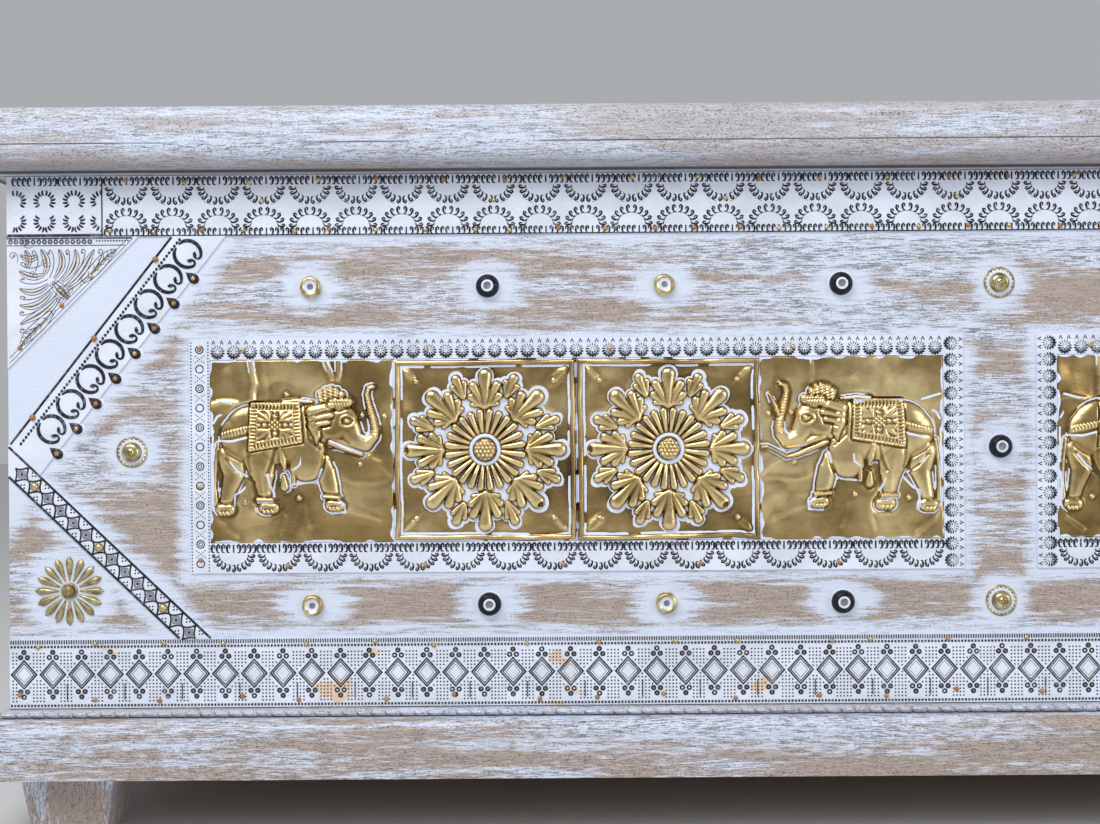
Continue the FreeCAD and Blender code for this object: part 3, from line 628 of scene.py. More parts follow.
def shaded_lip_edge(paint, finish, colour, streak, broad):
    """Adds painted shade that darkens the foot of the lid's edge, a painted shadow line along its lower
    edge, and the crack along its middle.
    """
    x, y, z = paint.axes()
    outer = paint.step(paint.least([LID_SIDE - abs(x), y - LID_FRONT]), *LIP_REACH)
    above = z - LID_LIP
    lip_shade = paint.mix(streak, finish.grain_grey, finish.tan_wood)
    # Painted shade: the outer faces of the lid's edge grow darker towards its lower edge
    colour = paint.mix(paint.step(above, *LIP_PAINTED_SHADE) * outer * 0.5, colour, lip_shade)
    # Painted shadow: a near-black line along the lid's lower edge
    lip_shadow_line = paint.step(above, *LIP_SHADOW_LINE) * 0.95
    colour = paint.mix(lip_shadow_line * outer, colour, tinted(finish.grain_grey, 0.2))
    crack = paint.step(abs(z - LID_CRACK), *CRACK_HALF) * paint.step(broad, 0.36, 0.46)
    return paint.mix(crack * 0.85, colour, tinted(finish.grain_grey, 0.25))


def bare_inside(paint, finish, colour, run, bare, halo):
    """Leaves the wood unpainted inside the carcass or under the lid, and draws the joints of its boards."""
    x, y, z = paint.axes()
    if bare == "carcass":
        end_face = -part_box("left_end_upper_board")[1].x + INNER_MARGIN
        front_face = -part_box("front_upper_board")[1].y + INNER_MARGIN
        inner = paint.sum("LESS_THAN", abs(x), end_face) * paint.sum("LESS_THAN", abs(y), front_face)
        joints = [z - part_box("rear_lower_board")[1].z]
    else:
        inner = paint.sum("LESS_THAN", z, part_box("lid_front_plank")[0].z + UNDERSIDE_MARGIN)
        joints = [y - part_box("lid_front_plank")[1].y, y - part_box("lid_middle_plank")[1].y]
    colour = paint.mix(inner, colour, bare_grain(paint, finish, run)[0])
    joint = paint.step(paint.least([abs(gap) for gap in joints]), *JOINT_HALF, 0.0, 0.8)
    if halo:
        joint *= inner
    return paint.mix(joint, colour, tinted(finish.grain_grey, 0.25))


def bare_grain(paint, finish, run):
    """Colour, rings and hairs of unpainted planed wood."""
    wood = finish.bare_wood
    rings = paint.noise(along(run, 3, 55), 5, 0.6)
    hair = paint.noise(along(run, 25, 600))
    share = rings * 0.7 + hair * 0.3
    return paint.mix(paint.step(share, 0.3, 0.7), tinted(wood, 0.6), tinted(wood, 1.4)), rings, hair


def bare_wood(paint, finish, run):
    """Unpainted planed wood."""
    colour, rings, hair = bare_grain(paint, finish, run)
    paint.bump(hair, 0.4 * MM, 0.5)
    return paint.done(colour, paint.step(rings, 0.3, 0.7, 0.6, 0.75))


def beaten_brass(paint, finish):
    """Brass that is gold on its high places, tarnished on the flat and touched with white paint."""
    rise, white = paint.noted("rise"), paint.noted("paint")
    cloud = paint.noise(38, 5, 0.6)
    brush = paint.noise((160, 160, 420), 4, 0.6)
    # The level holds polish and tarnish, and with them painted highlight on the crests and painted shade in
    # the hollows and along the figures' edges
    level = rise + (cloud - 0.5) * 0.7
    metal = paint.mix(paint.step(level, 0.0, 0.52), tinted(finish.brass_brown, 0.33), finish.brass_brown)
    metal = paint.mix(paint.step(level, 0.45, 0.95), metal, finish.brass_gold)
    metal = paint.mix(paint.step(brush, 0.55, 0.8, 0.0, 0.2), metal, finish.brass_gold)
    cover = paint.step(white + (brush - 0.5) * 0.9, 0.42, 0.60)
    colour = paint.mix(cover, metal, tinted(finish.whitewash, 1.06))
    paint.bump(brush + cloud, 0.3 * MM, 0.35)
    rough = paint.step(cloud, 0.3, 0.7, 0.22, 0.36) + cover * 0.35
    return paint.done(colour, rough, paint.sum("SUBTRACT", 1.0, cover, clamp=True))


def plain_brass(paint, finish, light=1.0, dull=0.0, pale=False):
    """Brass of the small fittings, cloudy from gold to tarnish."""
    cloud = paint.noise(190, 4)
    gold = finish.pale_brass if pale else tinted(finish.brass_gold, 0.85)
    brown = tinted(finish.brass_brown, 0.9 * light)
    colour = paint.mix(paint.step(cloud, 0.3, 0.7), brown, tinted(gold, light))
    paint.bump(cloud, 0.3 * MM, 0.3)
    return paint.done(colour, paint.step(cloud, 0.3, 0.7, 0.36 + dull, 0.24 + dull), 1.0)


def white_tin(paint, finish, stained=False):
    """Sheet tin painted white, a little uneven and greyed; rust has bled through where it is stained."""
    cloud = paint.noise((30, 30, 60), 4)
    fine = paint.noise(420)
    grey, white = tinted(finish.tin_white, 0.88), tinted(finish.tin_white, 1.04)
    colour = paint.mix(paint.step(cloud, 0.3, 0.7), grey, white)
    colour = paint.mix(paint.step(fine, 0.62, 0.75, 0.0, 0.4), colour, tinted(finish.tin_white, 0.55))
    if stained:
        blot = paint.noise((24, 24, 34), 5, 0.6, (2, 5, 1))
        colour = paint.mix(paint.step(blot, 0.615, 0.665, 0.0, 0.7), colour, finish.stain)
    paint.bump(cloud + fine * 0.2, 0.8 * MM, 0.4)
    return paint.done(colour, paint.step(cloud, 0.3, 0.7, 0.42, 0.55))


def stamp_black(paint, finish, worn=0.35, shine=0.25, pale=0.0, rough=0.35):
    """Black of the stamped figures, rubbed grey in places; paler or glossier where asked."""
    paint.put(paint.shader.inputs["Specular IOR Level"], shine)
    rub = paint.noise(520)
    drift = paint.noise(45)
    grey = tinted(finish.tin_white, 0.75)
    dark = tuple(deep + pale * (light - deep) for deep, light in zip(finish.stamp_black, grey))
    colour = paint.mix(paint.step(rub * 0.7 + drift * 0.3, 0.50, 0.70, 0.0, worn), dark, grey)
    return paint.done(colour, paint.step(rub, 0.3, 0.7, rough, rough + 0.2))


def tack_metal(paint, finish):
    """Tack heads from gold to rust, each as its own number says."""
    cloud = paint.noise(600, 2)
    share = paint.noted("rust") + (cloud - 0.5) * 0.5
    colour = paint.mix(paint.step(share, 0.2, 0.8), tinted(finish.brass_gold, 0.75), finish.rust)
    metal = paint.step(share, 0.3, 0.8, 0.9, 0.1)
    return paint.done(colour, paint.step(share, 0.2, 0.8, 0.3, 0.6), metal)


def hinge_iron(paint, finish):
    """Dark iron of the hinges."""
    cloud = paint.noise(90, 5)
    colour = paint.mix(paint.step(cloud, 0.35, 0.7), finish.iron, tinted(finish.rust, 0.45))
    paint.bump(cloud, 0.3 * MM, 0.4)
    return paint.done(colour, paint.step(cloud, 0.3, 0.7, 0.45, 0.7), 0.8)


# Each material's maker, and what is asked of it
FINISHES = {
    "front_whitewash": (whitewash, dict(run="x", bare="carcass", halo=True)),
    "low_front_whitewash": (
        whitewash, dict(run="x", bare="carcass", halo=True, bald=0.026, shift=(6, 0, 0))),
    "rear_whitewash": (whitewash, dict(run="x", bare="carcass", wear=0.62, shift=(3, 1, 2))),
    "end_whitewash": (whitewash, dict(run="y", bare="carcass", wear=0.62, shift=(1, 4, 5))),
    "lid_edge_whitewash": (whitewash, dict(run="x", edge=True, wear=0.5, shift=(7, 2, 0))),
    "lid_side_whitewash": (whitewash, dict(run="y", edge=True, wear=0.5, shift=(2, 6, 1))),
    "lid_top_whitewash": (whitewash, dict(run="x", bare="lid", wear=0.6, shift=(5, 3, 9))),
    "base_whitewash": (whitewash, dict(run="x", shift=(4, 8, 2))),
    "base_side_whitewash": (whitewash, dict(run="y", shift=(9, 2, 4))),
    "foot_whitewash": (whitewash, dict(run="z", shift=(2, 2, 7))),
    "bead_whitewash": (whitewash, dict(run="x", wear=0.35, shift=(1, 1, 3))),
    "bare_posts": (bare_wood, dict(run="z")),
    "bare_cleats": (bare_wood, dict(run="x")),
    "bare_planks": (bare_wood, dict(run="y")),
    "white_tin": (white_tin, {}),
    "stained_tin": (white_tin, dict(stained=True)),
    "stud_white": (white_tin, {}),
    "stamped_black": (stamp_black, {}),
    "leaf_lines": (stamp_black, dict(worn=0.5, pale=0.12)),
    "stud_grey": (stamp_black, dict(worn=0.4, pale=0.3)),
    "stud_black": (stamp_black, dict(worn=0.05, shine=0.16, rough=0.1)),
    "beaten_brass": (beaten_brass, {}),
    "stud_brass": (plain_brass, dict(light=1.1, pale=True)),
    "fitting_brass": (plain_brass, dict(light=0.8, pale=True)),
    "rosette_brass": (plain_brass, dict(light=0.72, dull=0.15, pale=True)),
    "leaf_gold": (plain_brass, dict(light=0.6, dull=0.15)),
    "tack_heads": (tack_metal, {}),
    "hinge_iron": (hinge_iron, {}),
}
MATERIALS = {}


def material(name):
    """A material made once and shared."""
    if name not in MATERIALS:
        maker, choices = FINISHES[name]
        MATERIALS[name] = maker(Paint(name), settings("finish"), **choices)
    return MATERIALS[name]


def dress(names, finish):
    """Gives carried-over CAD nodes a material."""
    for name in names:
        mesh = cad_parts[name].data
        mesh.materials.clear()
        mesh.materials.append(material(finish))


# Beaten plates

FAR_OFF = 9.0


def unevenness(u, v, cells, seed):
    """Smooth seeded unevenness over a plate, between -1 and 1."""
    lattice = np.random.default_rng(seed).uniform(-1, 1, (cells + 2, cells + 2))
    x, y = np.clip(u, 0, 1) * cells, np.clip(v, 0, 1) * cells
    i, j = x.astype(int), y.astype(int)
    s, t = x - i, y - j
    s, t = s * s * (3 - 2 * s), t * t * (3 - 2 * t)
    low = lattice[i, j] * (1 - s) + lattice[i + 1, j] * s
    high = lattice[i, j + 1] * (1 - s) + lattice[i + 1, j + 1] * s
    return low * (1 - t) + high * t


def eased(value, low, high):
    """0 below low, 1 above high and smooth between; low may be the larger."""
    t = np.clip((value - low) / (high - low), 0, 1)
    return t * t * (3 - 2 * t)


def round_top(share):
    """Height of a round form, 1 in its middle and 0 from its edge on."""
    return np.sqrt(np.clip(1 - share ** 2, 0, None))


def ridge(gap, wide):
    """Height of a soft ridge, 1 on its line and fading over its width."""
    return np.exp(-(gap / wide) ** 2)


def finger(x, y, path):
    """How far outside a chain of tapered rods a place is, and how high on its round, from 0 to 1."""
    outside = np.full(x.shape, FAR_OFF)
    crown = np.zeros(x.shape)
    for (x0, y0, r0), (x1, y1, r1) in zip(path, path[1:]):
        run = (x1 - x0) ** 2 + (y1 - y0) ** 2
        t = np.clip(((x - x0) * (x1 - x0) + (y - y0) * (y1 - y0)) / max(run, 1e-12), 0, 1)
        radius = r0 + (r1 - r0) * t
        gap = np.hypot(x - x0 - t * (x1 - x0), y - y0 - t * (y1 - y0))
        outside = np.minimum(outside, gap - radius)
        crown = np.maximum(crown, round_top(gap / radius))
    return outside, crown


def stroke_gap(u, v, path, radius):
    """How far a place is from a stroke of even width."""
    return finger(u, v, [(x, y, radius) for x, y in path])[0]


def chain_gap(u, v, paths):
    """How far outside several chains of rods a place is; less than 0 inside."""
    return np.min([finger(u, v, path)[0] for path in paths], axis=0)


def pillow(gap, wide):
    """Height from 0 to 1 of a form that is rounded off within a width of its edge."""
    return round_top(1 - np.clip(-gap / wide, 0, 1))


def edge_gap(u, v):
    """How far in from the edge of its plate a place is."""
    return np.minimum(np.minimum(u, 1 - u), np.minimum(v, 1 - v))


# Half of a large and a small leaf, in shares of the plate: path of (outwards, aside, radius), height share
LARGE_LEAF = [
    ([(0.236, 0.0, 0.02), (0.33, 0.0, 0.03), (0.406, 0.0, 0.039)], 1.0),
    ([(0.238, 0.012, 0.015), (0.296, 0.038, 0.023), (0.35, 0.067, 0.0255)], 0.92),
    ([(0.24, 0.022, 0.013), (0.268, 0.052, 0.019), (0.292, 0.08, 0.022)], 0.82),
    ([(0.24, 0.032, 0.01), (0.249, 0.071, 0.013)], 0.66),
]
SMALL_LEAF = [
    ([(0.312, 0.0, 0.012), (0.378, 0.0, 0.021), (0.418, 0.0, 0.026)], 1.0),
    ([(0.314, 0.008, 0.009), (0.35, 0.022, 0.014), (0.384, 0.034, 0.016)], 0.85),
]
HOLLOW_LEAVES = (pi, -pi / 4)
HOLLOW_REACH = 0.430
HOLLOW_LONG, HOLLOW_WIDE = 0.014, 0.021
EIGHTH = pi / 4
PLUMP = 0.65
# The flower's petals, boss with its pebbles and ring, frame and tacks, as shares of the plate
PETAL = [(0.095, 0, 0.0112), (0.205, 0, 0.0212)]
BOSS_RADIUS = 0.062
PEBBLED_RADIUS = 0.058
PEBBLE_RADIUS = 0.0115
PEBBLE_WIDE, PEBBLE_TALL = 0.024, 0.022
PEBBLE_RISE = RING_RISE = 1.3 * MM
FRAME_INSET, FRAME_HALF = 0.022, 0.016
TACK_SPOTS = (-0.375, 0.375)
TACK_RADIUS, TACK_GROOVE = 0.014, 0.017


def tack_ring(x, y, at_x, at_y, height, painted):
    """A small nail head with a ring round it, struck into the plate."""
    gap = np.hypot(x - at_x, y - at_y)
    groove = eased(np.abs(gap - TACK_GROOVE), 0.004, 0.0)
    head = np.maximum(height, 1.2 * MM * round_top(gap / TACK_RADIUS))
    height = np.where(gap < TACK_RADIUS, head, height)
    return height - 0.3 * MM * groove, np.maximum(painted, 0.55 * groove)


def flower_leaves(x, y, radius, angle, rise):
    """Height of the sixteen cut leaves, and how far outside them a place is."""
    outside, height = np.full(x.shape, FAR_OFF), np.zeros(x.shape)
    for fingers, offset, tall in ((SMALL_LEAF, EIGHTH / 2, 0.7 * rise), (LARGE_LEAF, 0.0, rise)):
        local = np.mod(angle - offset + EIGHTH / 2, EIGHTH) - EIGHTH / 2
        a, b = radius * np.cos(local), np.abs(radius * np.sin(local))
        for path, share in fingers:
            gap, crown = finger(a, b, path)
            outside = np.minimum(outside, gap)
            height = np.maximum(height, tall * share * crown ** PLUMP)
    for turn in HOLLOW_LEAVES:
        a = x * cos(turn) + y * sin(turn) - HOLLOW_REACH
        b = y * cos(turn) - x * sin(turn)
        height -= 0.8 * rise * eased(np.hypot(a / HOLLOW_LONG, b / HOLLOW_WIDE), 1.0, 0.7)
    return height, outside


def flower_relief(u, v, seed):
    """Height, paint and shine level of a flower plate, the shine darkened by a painted shadow line round
    each figure; u and v run from 0 to 1 across it.
    """
    relief = settings("relief")
    bend = 0.004 * unevenness(u, v, 5, seed + 6)
    x, y = u - 0.5 + bend, v - 0.5 - bend
    radius, angle = np.hypot(x, y), np.arctan2(y, x)
    edge = 0.5 - np.maximum(np.abs(x), np.abs(y))
    height, outside = flower_leaves(x, y, radius, angle, relief.leaf_rise)
    step = tau / relief.petals
    local = np.mod(angle, step) - step / 2
    gap, crown = finger(radius * np.cos(local), radius * np.sin(local), PETAL)
    height = np.maximum(height, relief.petal_rise * crown ** PLUMP * eased(radius, 0.06, 0.17) ** 0.5)
    outside = np.minimum(outside, gap)
    row = np.floor(y / PEBBLE_TALL)
    beside = np.mod(x + PEBBLE_WIDE / 2 * np.mod(row, 2), PEBBLE_WIDE) - PEBBLE_WIDE / 2
    pebbles = round_top(np.hypot(beside, y - (row + 0.5) * PEBBLE_TALL) / PEBBLE_RADIUS)
    boss = relief.boss_rise * round_top(radius / BOSS_RADIUS)
    height = np.maximum(height, boss + np.where(radius < PEBBLED_RADIUS, PEBBLE_RISE * pebbles, 0))
    ring = eased(radius, 0.064, 0.069) * eased(radius, 0.088, 0.083)
    height = np.maximum(height, ring * RING_RISE)
    waver = edge - FRAME_INSET - 0.004 * unevenness(u, v, 7, seed + 8)
    height = np.maximum(height, relief.frame_rise * round_top(waver / FRAME_HALF))
    corner = np.abs(np.abs(x) - np.abs(y)) + 0.02 * unevenness(u, v, 6, seed + 4)
    crease = ridge(corner, 0.03) * eased(radius, 0.46, 0.56) * eased(edge, 0.04, 0.07)
    field = 1 * MM * unevenness(u, v, 6, seed) + 0.4 * MM * unevenness(u, v, 13, seed + 1)
    field += 1 * MM * crease
    height += np.where(outside > 0, field * eased(outside, 0, 0.03), 0)
    line = relief.paint_line / PLATE_SIZE * (1 + 0.6 * unevenness(u, v, 17, seed + 5))
    beyond = eased(outside, 0.001, 0.004)
    between = eased(radius, 0.40, 0.37) * eased(radius, 0.11, 0.14)
    painted = np.maximum(beyond * eased(outside, 1.7 * line, 1.1 * line), ring)
    painted = np.maximum(painted, beyond * between)
    broken = eased(unevenness(u, v, 16, seed + 2), -0.6, -0.2)
    frame_gap = np.abs(waver)
    painted = np.maximum(painted, broken * eased(frame_gap, 0.013, 0.016) * eased(frame_gap, 0.032, 0.023))
    for spot_x in TACK_SPOTS:
        for spot_y in TACK_SPOTS:
            height, painted = tack_ring(x, y, spot_x, spot_y, height, painted)
    # Raised places a little lighter as polish; the thin dark line round the edge of every figure is painted
    # shadow
    polish_and_shade = 0.10 * np.clip(height / relief.leaf_rise, 0, 1) - 0.3 * ridge(outside, 0.003)
    polish_and_shade += 0.26 * unevenness(u, v, 4, seed + 3) * eased(outside, 0, 0.02)
    return height, painted, polish_and_shade - 0.36 * eased(frame_gap, 0.016, 0.012)


# The walking elephant, in shares of the plate from its lower left corner: (along, up, radius) in each path
FAR_LEGS = [
    [(0.12, 0.47, 0.08), (0.13, 0.376, 0.06), (0.103, 0.285, 0.042), (0.09, 0.232, 0.037)],
    [(0.626, 0.455, 0.032), (0.634, 0.385, 0.052), (0.652, 0.31, 0.05), (0.667, 0.252, 0.041)],
]
BODY = [
    [(0.184, 0.582, 0.128), (0.235, 0.592, 0.16)],
    [(0.233, 0.592, 0.16), (0.47, 0.58, 0.16)],
    [(0.51, 0.57, 0.13), (0.525, 0.432, 0.1)],
    [(0.54, 0.63, 0.128), (0.64, 0.643, 0.118)],
    [(0.27, 0.47, 0.098), (0.29, 0.368, 0.064), (0.296, 0.285, 0.043), (0.302, 0.236, 0.038)],
]
TRUNK = [
    (0.746, 0.634, 0.076), (0.787, 0.56, 0.058), (0.85, 0.538, 0.044), (0.893, 0.575, 0.031),
    (0.902, 0.612, 0.027), (0.892, 0.668, 0.025), (0.868, 0.754, 0.02), (0.858, 0.806, 0.018),
    (0.866, 0.84, 0.017), (0.89, 0.848, 0.015),
]
RINGED_TRUNK = TRUNK[4:]
HEAD = [
    [(0.668, 0.64, 0.108), (0.705, 0.655, 0.104)],
    [(0.73, 0.705, 0.056), (0.752, 0.668, 0.06)],
    [(0.67, 0.56, 0.05), (0.77, 0.527, 0.026)],
    TRUNK,
]
FEET = [
    [(0.06, 0.186, 0.032), (0.104, 0.184, 0.036)],
    [(0.298, 0.194, 0.036), (0.346, 0.19, 0.034)],
    [(0.66, 0.206, 0.036), (0.702, 0.202, 0.034)],
]
ANKLETS = [[(0.262, 0.238, 0.014), (0.34, 0.236, 0.014)], [(0.622, 0.252, 0.013), (0.704, 0.246, 0.013)]]
TAIL = [(0.046, 0.54, 0.01), (0.032, 0.43, 0.01), (0.026, 0.31, 0.011), (0.03, 0.215, 0.017)]
TUSK = [(0.655, 0.545, 0.017), (0.745, 0.508, 0.016), (0.83, 0.478, 0.012)]
LONG_TUSK = [(0.64, 0.532, 0.015), (0.735, 0.493, 0.018), (0.8, 0.466, 0.016), (0.857, 0.452, 0.012),
             (0.91, 0.482, 0.01), (0.962, 0.508, 0.01), (0.992, 0.506, 0.01)]
TRUNK_FORK = [(0.902, 0.68, 0.013), (0.922, 0.735, 0.012), (0.95, 0.792, 0.008)]
EAR = [
    [(0.572, 0.64, 0.036), (0.588, 0.583, 0.023), (0.584, 0.54, 0.004)],
    [(0.568, 0.648, 0.026), (0.644, 0.656, 0.019)],
    [(0.562, 0.678, 0.028), (0.66, 0.692, 0.02)],
    [(0.56, 0.712, 0.032), (0.66, 0.74, 0.025)],
]
CAP = [
    [(0.612 + 0.026 * k, 0.775, 0.018), (0.606 + 0.029 * k, 0.835 - 0.007 * (k - 2) ** 2, 0.021)]
    for k in range(5)
]
CAP_PAD = [(0.672, 0.758, 0.03), (0.708, 0.752, 0.036), (0.755, 0.764, 0.029)]
CLOTH = [(0.229, 0.763), (0.492, 0.759), (0.506, 0.548), (0.217, 0.501)]
CLOTH_LEAVES = [
    [(0.1, 0.1, 0.02), (0.22, 0.21, 0.075), (0.37, 0.35, 0.015)],
    [(0.11, 0.15, 0.02), (0.12, 0.28, 0.052), (0.21, 0.38, 0.015)],
    [(0.15, 0.11, 0.02), (0.28, 0.12, 0.052), (0.38, 0.21, 0.015)],
]
CLOTH_BEADS = ((0.0, 0.2), (0.0, 0.31), (0.2, 0.0), (0.31, 0.0))
CRUPPER = [(0.075, 0.588, 0.017), (0.214, 0.618, 0.018)]
HANGINGS = [
    ([(0.388, 0.514, 0.021), (0.402, 0.45, 0.025), (0.412, 0.408, 0.01)], 1.1),
    ([(0.404, 0.362, 0.012), (0.406, 0.33, 0.02), (0.408, 0.304, 0.024)], 0.7),
    ([(0.457, 0.39, 0.012), (0.457, 0.32, 0.012)], 0.6),
    ([(0.404, 0.768, 0.011), (0.48, 0.774, 0.013), (0.56, 0.767, 0.01)], 0.6),
]
FOLDS = [
    ([(0.222, 1.0), (0.236, 0.92), (0.246, 0.87), (0.23, 0.82), (0.228, 0.77)], 1.3),
    ([(0.29, 1.0), (0.3, 0.93), (0.312, 0.86), (0.318, 0.8)], 0.25),
    ([(0.64, 1.0), (0.648, 0.95), (0.664, 0.9)], 1.2),
    ([(0.716, 1.0), (0.706, 0.95), (0.69, 0.9)], 1.2),
    ([(0.0, 0.755), (0.07, 0.765), (0.15, 0.755)], 1.1),
    ([(0.86, 0.46), (0.92, 0.43), (0.98, 0.37)], 0.4),
    ([(0.7, 0.36), (0.8, 0.33), (0.95, 0.34)], 0.3),
    ([(0.72, 0.19), (0.82, 0.155), (0.93, 0.11)], 0.4),
    ([(0.02, 0.2), (0.05, 0.11), (0.14, 0.04)], 0.5),
    ([(0.4, 0.18), (0.41, 0.12), (0.38, 0.06)], 0.4),
    ([(0.52, 0.2), (0.53, 0.14), (0.55, 0.09)], 0.4),
]
SMOOTH_FOLDS = [([(0.72, 1.0), (0.716, 0.93), (0.71, 0.87)], 0.35)] + FOLDS[5:]
BODY_GROOVES = [
    ([(0.214, 0.505), (0.211, 0.44), (0.222, 0.39)], 0.5),
    ([(0.358, 0.512), (0.343, 0.45), (0.316, 0.376)], 0.8),
    ([(0.09, 0.464), (0.145, 0.4), (0.202, 0.363), (0.24, 0.33)], 0.7),
    ([(0.524, 0.745), (0.53, 0.65), (0.54, 0.57), (0.6, 0.515)], 0.7),
    ([(0.64, 0.48), (0.61, 0.395), (0.582, 0.33)], 0.8),
    ([(0.07, 0.562), (0.14, 0.57), (0.212, 0.59)], 0.5),
    ([(0.68, 0.72), (0.63, 0.71), (0.592, 0.694)], 0.7),
    ([(0.668, 0.674), (0.62, 0.668), (0.588, 0.658)], 0.7),
    ([(0.655, 0.636), (0.616, 0.63), (0.59, 0.618)], 0.6),
]
PAINT_STROKES = [
    [(0.104, 0.454), (0.153, 0.393), (0.202, 0.363)],
    [(0.218, 0.333), (0.17, 0.282), (0.137, 0.265), (0.133, 0.213), (0.141, 0.161)],
    [(0.316, 0.376), (0.328, 0.316), (0.349, 0.265)],
    [(0.497, 0.462), (0.494, 0.425), (0.457, 0.398)],
    [(0.438, 0.316), (0.511, 0.325), (0.56, 0.33)],
    [(0.404, 0.772), (0.48, 0.778), (0.54, 0.772)],
    [(0.02, 0.79), (0.07, 0.775), (0.12, 0.76)],
    [(0.655, 0.556), (0.745, 0.52), (0.83, 0.49)],
    [(0.016, 0.6), (0.014, 0.45), (0.02, 0.3), (0.016, 0.18)],
    [(0.634, 0.48), (0.608, 0.395), (0.58, 0.33)],
    [(0.02, 0.655), (0.04, 0.69), (0.06, 0.7)],
    [(0.7, 0.235), (0.732, 0.205), (0.738, 0.165), (0.66, 0.16)],
    [(0.258, 0.222), (0.344, 0.22)],
    [(0.048, 0.56), (0.125, 0.556), (0.205, 0.575)],
    [(0.812, 0.59), (0.842, 0.572), (0.866, 0.592), (0.868, 0.64)],
]
PLATE_TACKS = (
    (0.419, 0.808), (0.191, 0.222), (0.485, 0.243), (0.831, 0.692), (0.952, 0.686), (0.818, 0.424))
TOES = (-0.1, 0.35, 0.8)


def saddle_cloth(u, v):
    """How far inside the cloth a place is, its ribs, and the raised flowers in the middle of the cloth."""
    inside, ribs = np.full(u.shape, FAR_OFF), np.zeros(u.shape)
    for (x0, y0), (x1, y1) in zip(CLOTH, CLOTH[1:] + CLOTH[:1]):
        size = hypot(x1 - x0, y1 - y0)
        gap = ((y1 - y0) * (u - x0) - (x1 - x0) * (v - y0)) / size
        run = ((x1 - x0) * (u - x0) + (y1 - y0) * (v - y0)) / size
        ribs = np.where(gap < inside, 0.5 + 0.5 * np.cos(run * 330), ribs)
        inside = np.minimum(inside, gap)
    x, y = np.abs((u - 0.361) / 0.285), np.abs((v - 0.642) / 0.24)
    flowers = np.max([finger(x, y, path)[1] for path in CLOTH_LEAVES], axis=0)
    beads = np.clip(np.cos(x * 62) * np.cos(y * 62), 0, 1) * eased(np.hypot(x, y), 0.13, 0.10)
    for bead_x, bead_y in CLOTH_BEADS:
        beads = np.maximum(beads, round_top(np.hypot(x - bead_x, y - bead_y) / 0.045))
    figures = np.where(inside < 0.036, ribs, np.maximum(flowers, beads))
    lip = eased(np.abs(inside - 0.040), 0.006, 0.002) + eased(inside, 0.007, 0.003)
    return inside, np.clip(np.maximum(figures, lip), 0, 1)


def beast_form(u, v, tall, tusks):
    """Height of the elephant's body, legs and trunk, and how far outside them a place is."""
    height = np.zeros(u.shape)
    outside = np.full(u.shape, FAR_OFF)

    def layer(paths, wide, share, cut=0.0):
        """Lays a rounded form over what is there, with a groove along its edge."""
        nonlocal height, outside
        gap = chain_gap(u, v, paths)
        height -= cut * MM * ridge(gap, 0.007) * (height > 0)
        height = np.maximum(height, share * tall * pillow(gap, wide))
        outside = np.minimum(outside, gap)

    layer([TAIL], 0.012, 0.35)
    layer(FAR_LEGS, 0.045, 0.66)
    layer(BODY, 0.10, 1.0, 0.5)
    for path in FEET:
        layer([path], 0.03, 0.6, 0.4)
        (x0, y0, _), (x1, _, r1) = path
        for toe in TOES:
            x = x0 + (x1 - x0) * toe
            nail = [(x, y0 - 0.55 * r1, 0.013), (x + 0.006, y0 - 0.8 * r1, 0.011)]
            layer([nail], 0.012, 0.66, 0.3)
    layer(ANKLETS, 0.012, 0.86, 0.7)
    layer(HEAD, 0.06, 1.06, 0.9)
    trunk = finger(u, v, RINGED_TRUNK)[0]
    height -= 0.4 * MM * eased(trunk, 0.0, -0.01) * (0.5 + 0.5 * np.cos(v * 400))
    layer(tusks, 0.014, 0.9, 0.8)
    return height, outside


def beast_features(u, v, tall, height, outside):
    """Adds the ear, the cap with its pad, the creases of the skin and the eye."""
    gap = chain_gap(u, v, EAR)
    height -= 1.1 * MM * ridge(gap, 0.006)
    height = np.where(gap < 0, tall * (0.86 + 0.44 * pillow(gap, 0.045)), height)
    lobes = np.max([finger(u, v, path)[1] for path in CAP], axis=0)
    outside = np.minimum(outside, chain_gap(u, v, CAP))
    ripple = 1 - 0.16 * np.abs(np.cos(v * 190 + u * 60))
    height = np.where(lobes > 0, np.maximum(height, 1.16 * tall * lobes ** 0.6 * ripple), height)
    gap, pad = finger(u, v, CAP_PAD)
    outside = np.minimum(outside, gap)
    ribs = np.abs(np.cos((u + 0.35 * v) * 210)) * (0.55 + 0.45 * np.abs(np.cos(v * 130)))
    height -= 0.9 * MM * ridge(gap, 0.006) * (height > 0)
    height = np.where(pad > 0, np.maximum(height, (0.92 + 0.32 * ribs) * tall * pad ** 0.5), height)
    for path, deep in BODY_GROOVES:
        height -= deep * MM * ridge(stroke_gap(u, v, path, 0.001).clip(0), 0.008)
    eye = np.hypot((u - 0.752) / 0.028, (v - 0.662) / 0.021)
    height = height + 0.8 * MM * eased(eye, 0.6, 0.3) - 0.7 * MM * ridge(eye - 0.95, 0.2)
    return height + 0.5 * MM * ridge(eye - 1.4, 0.22), outside


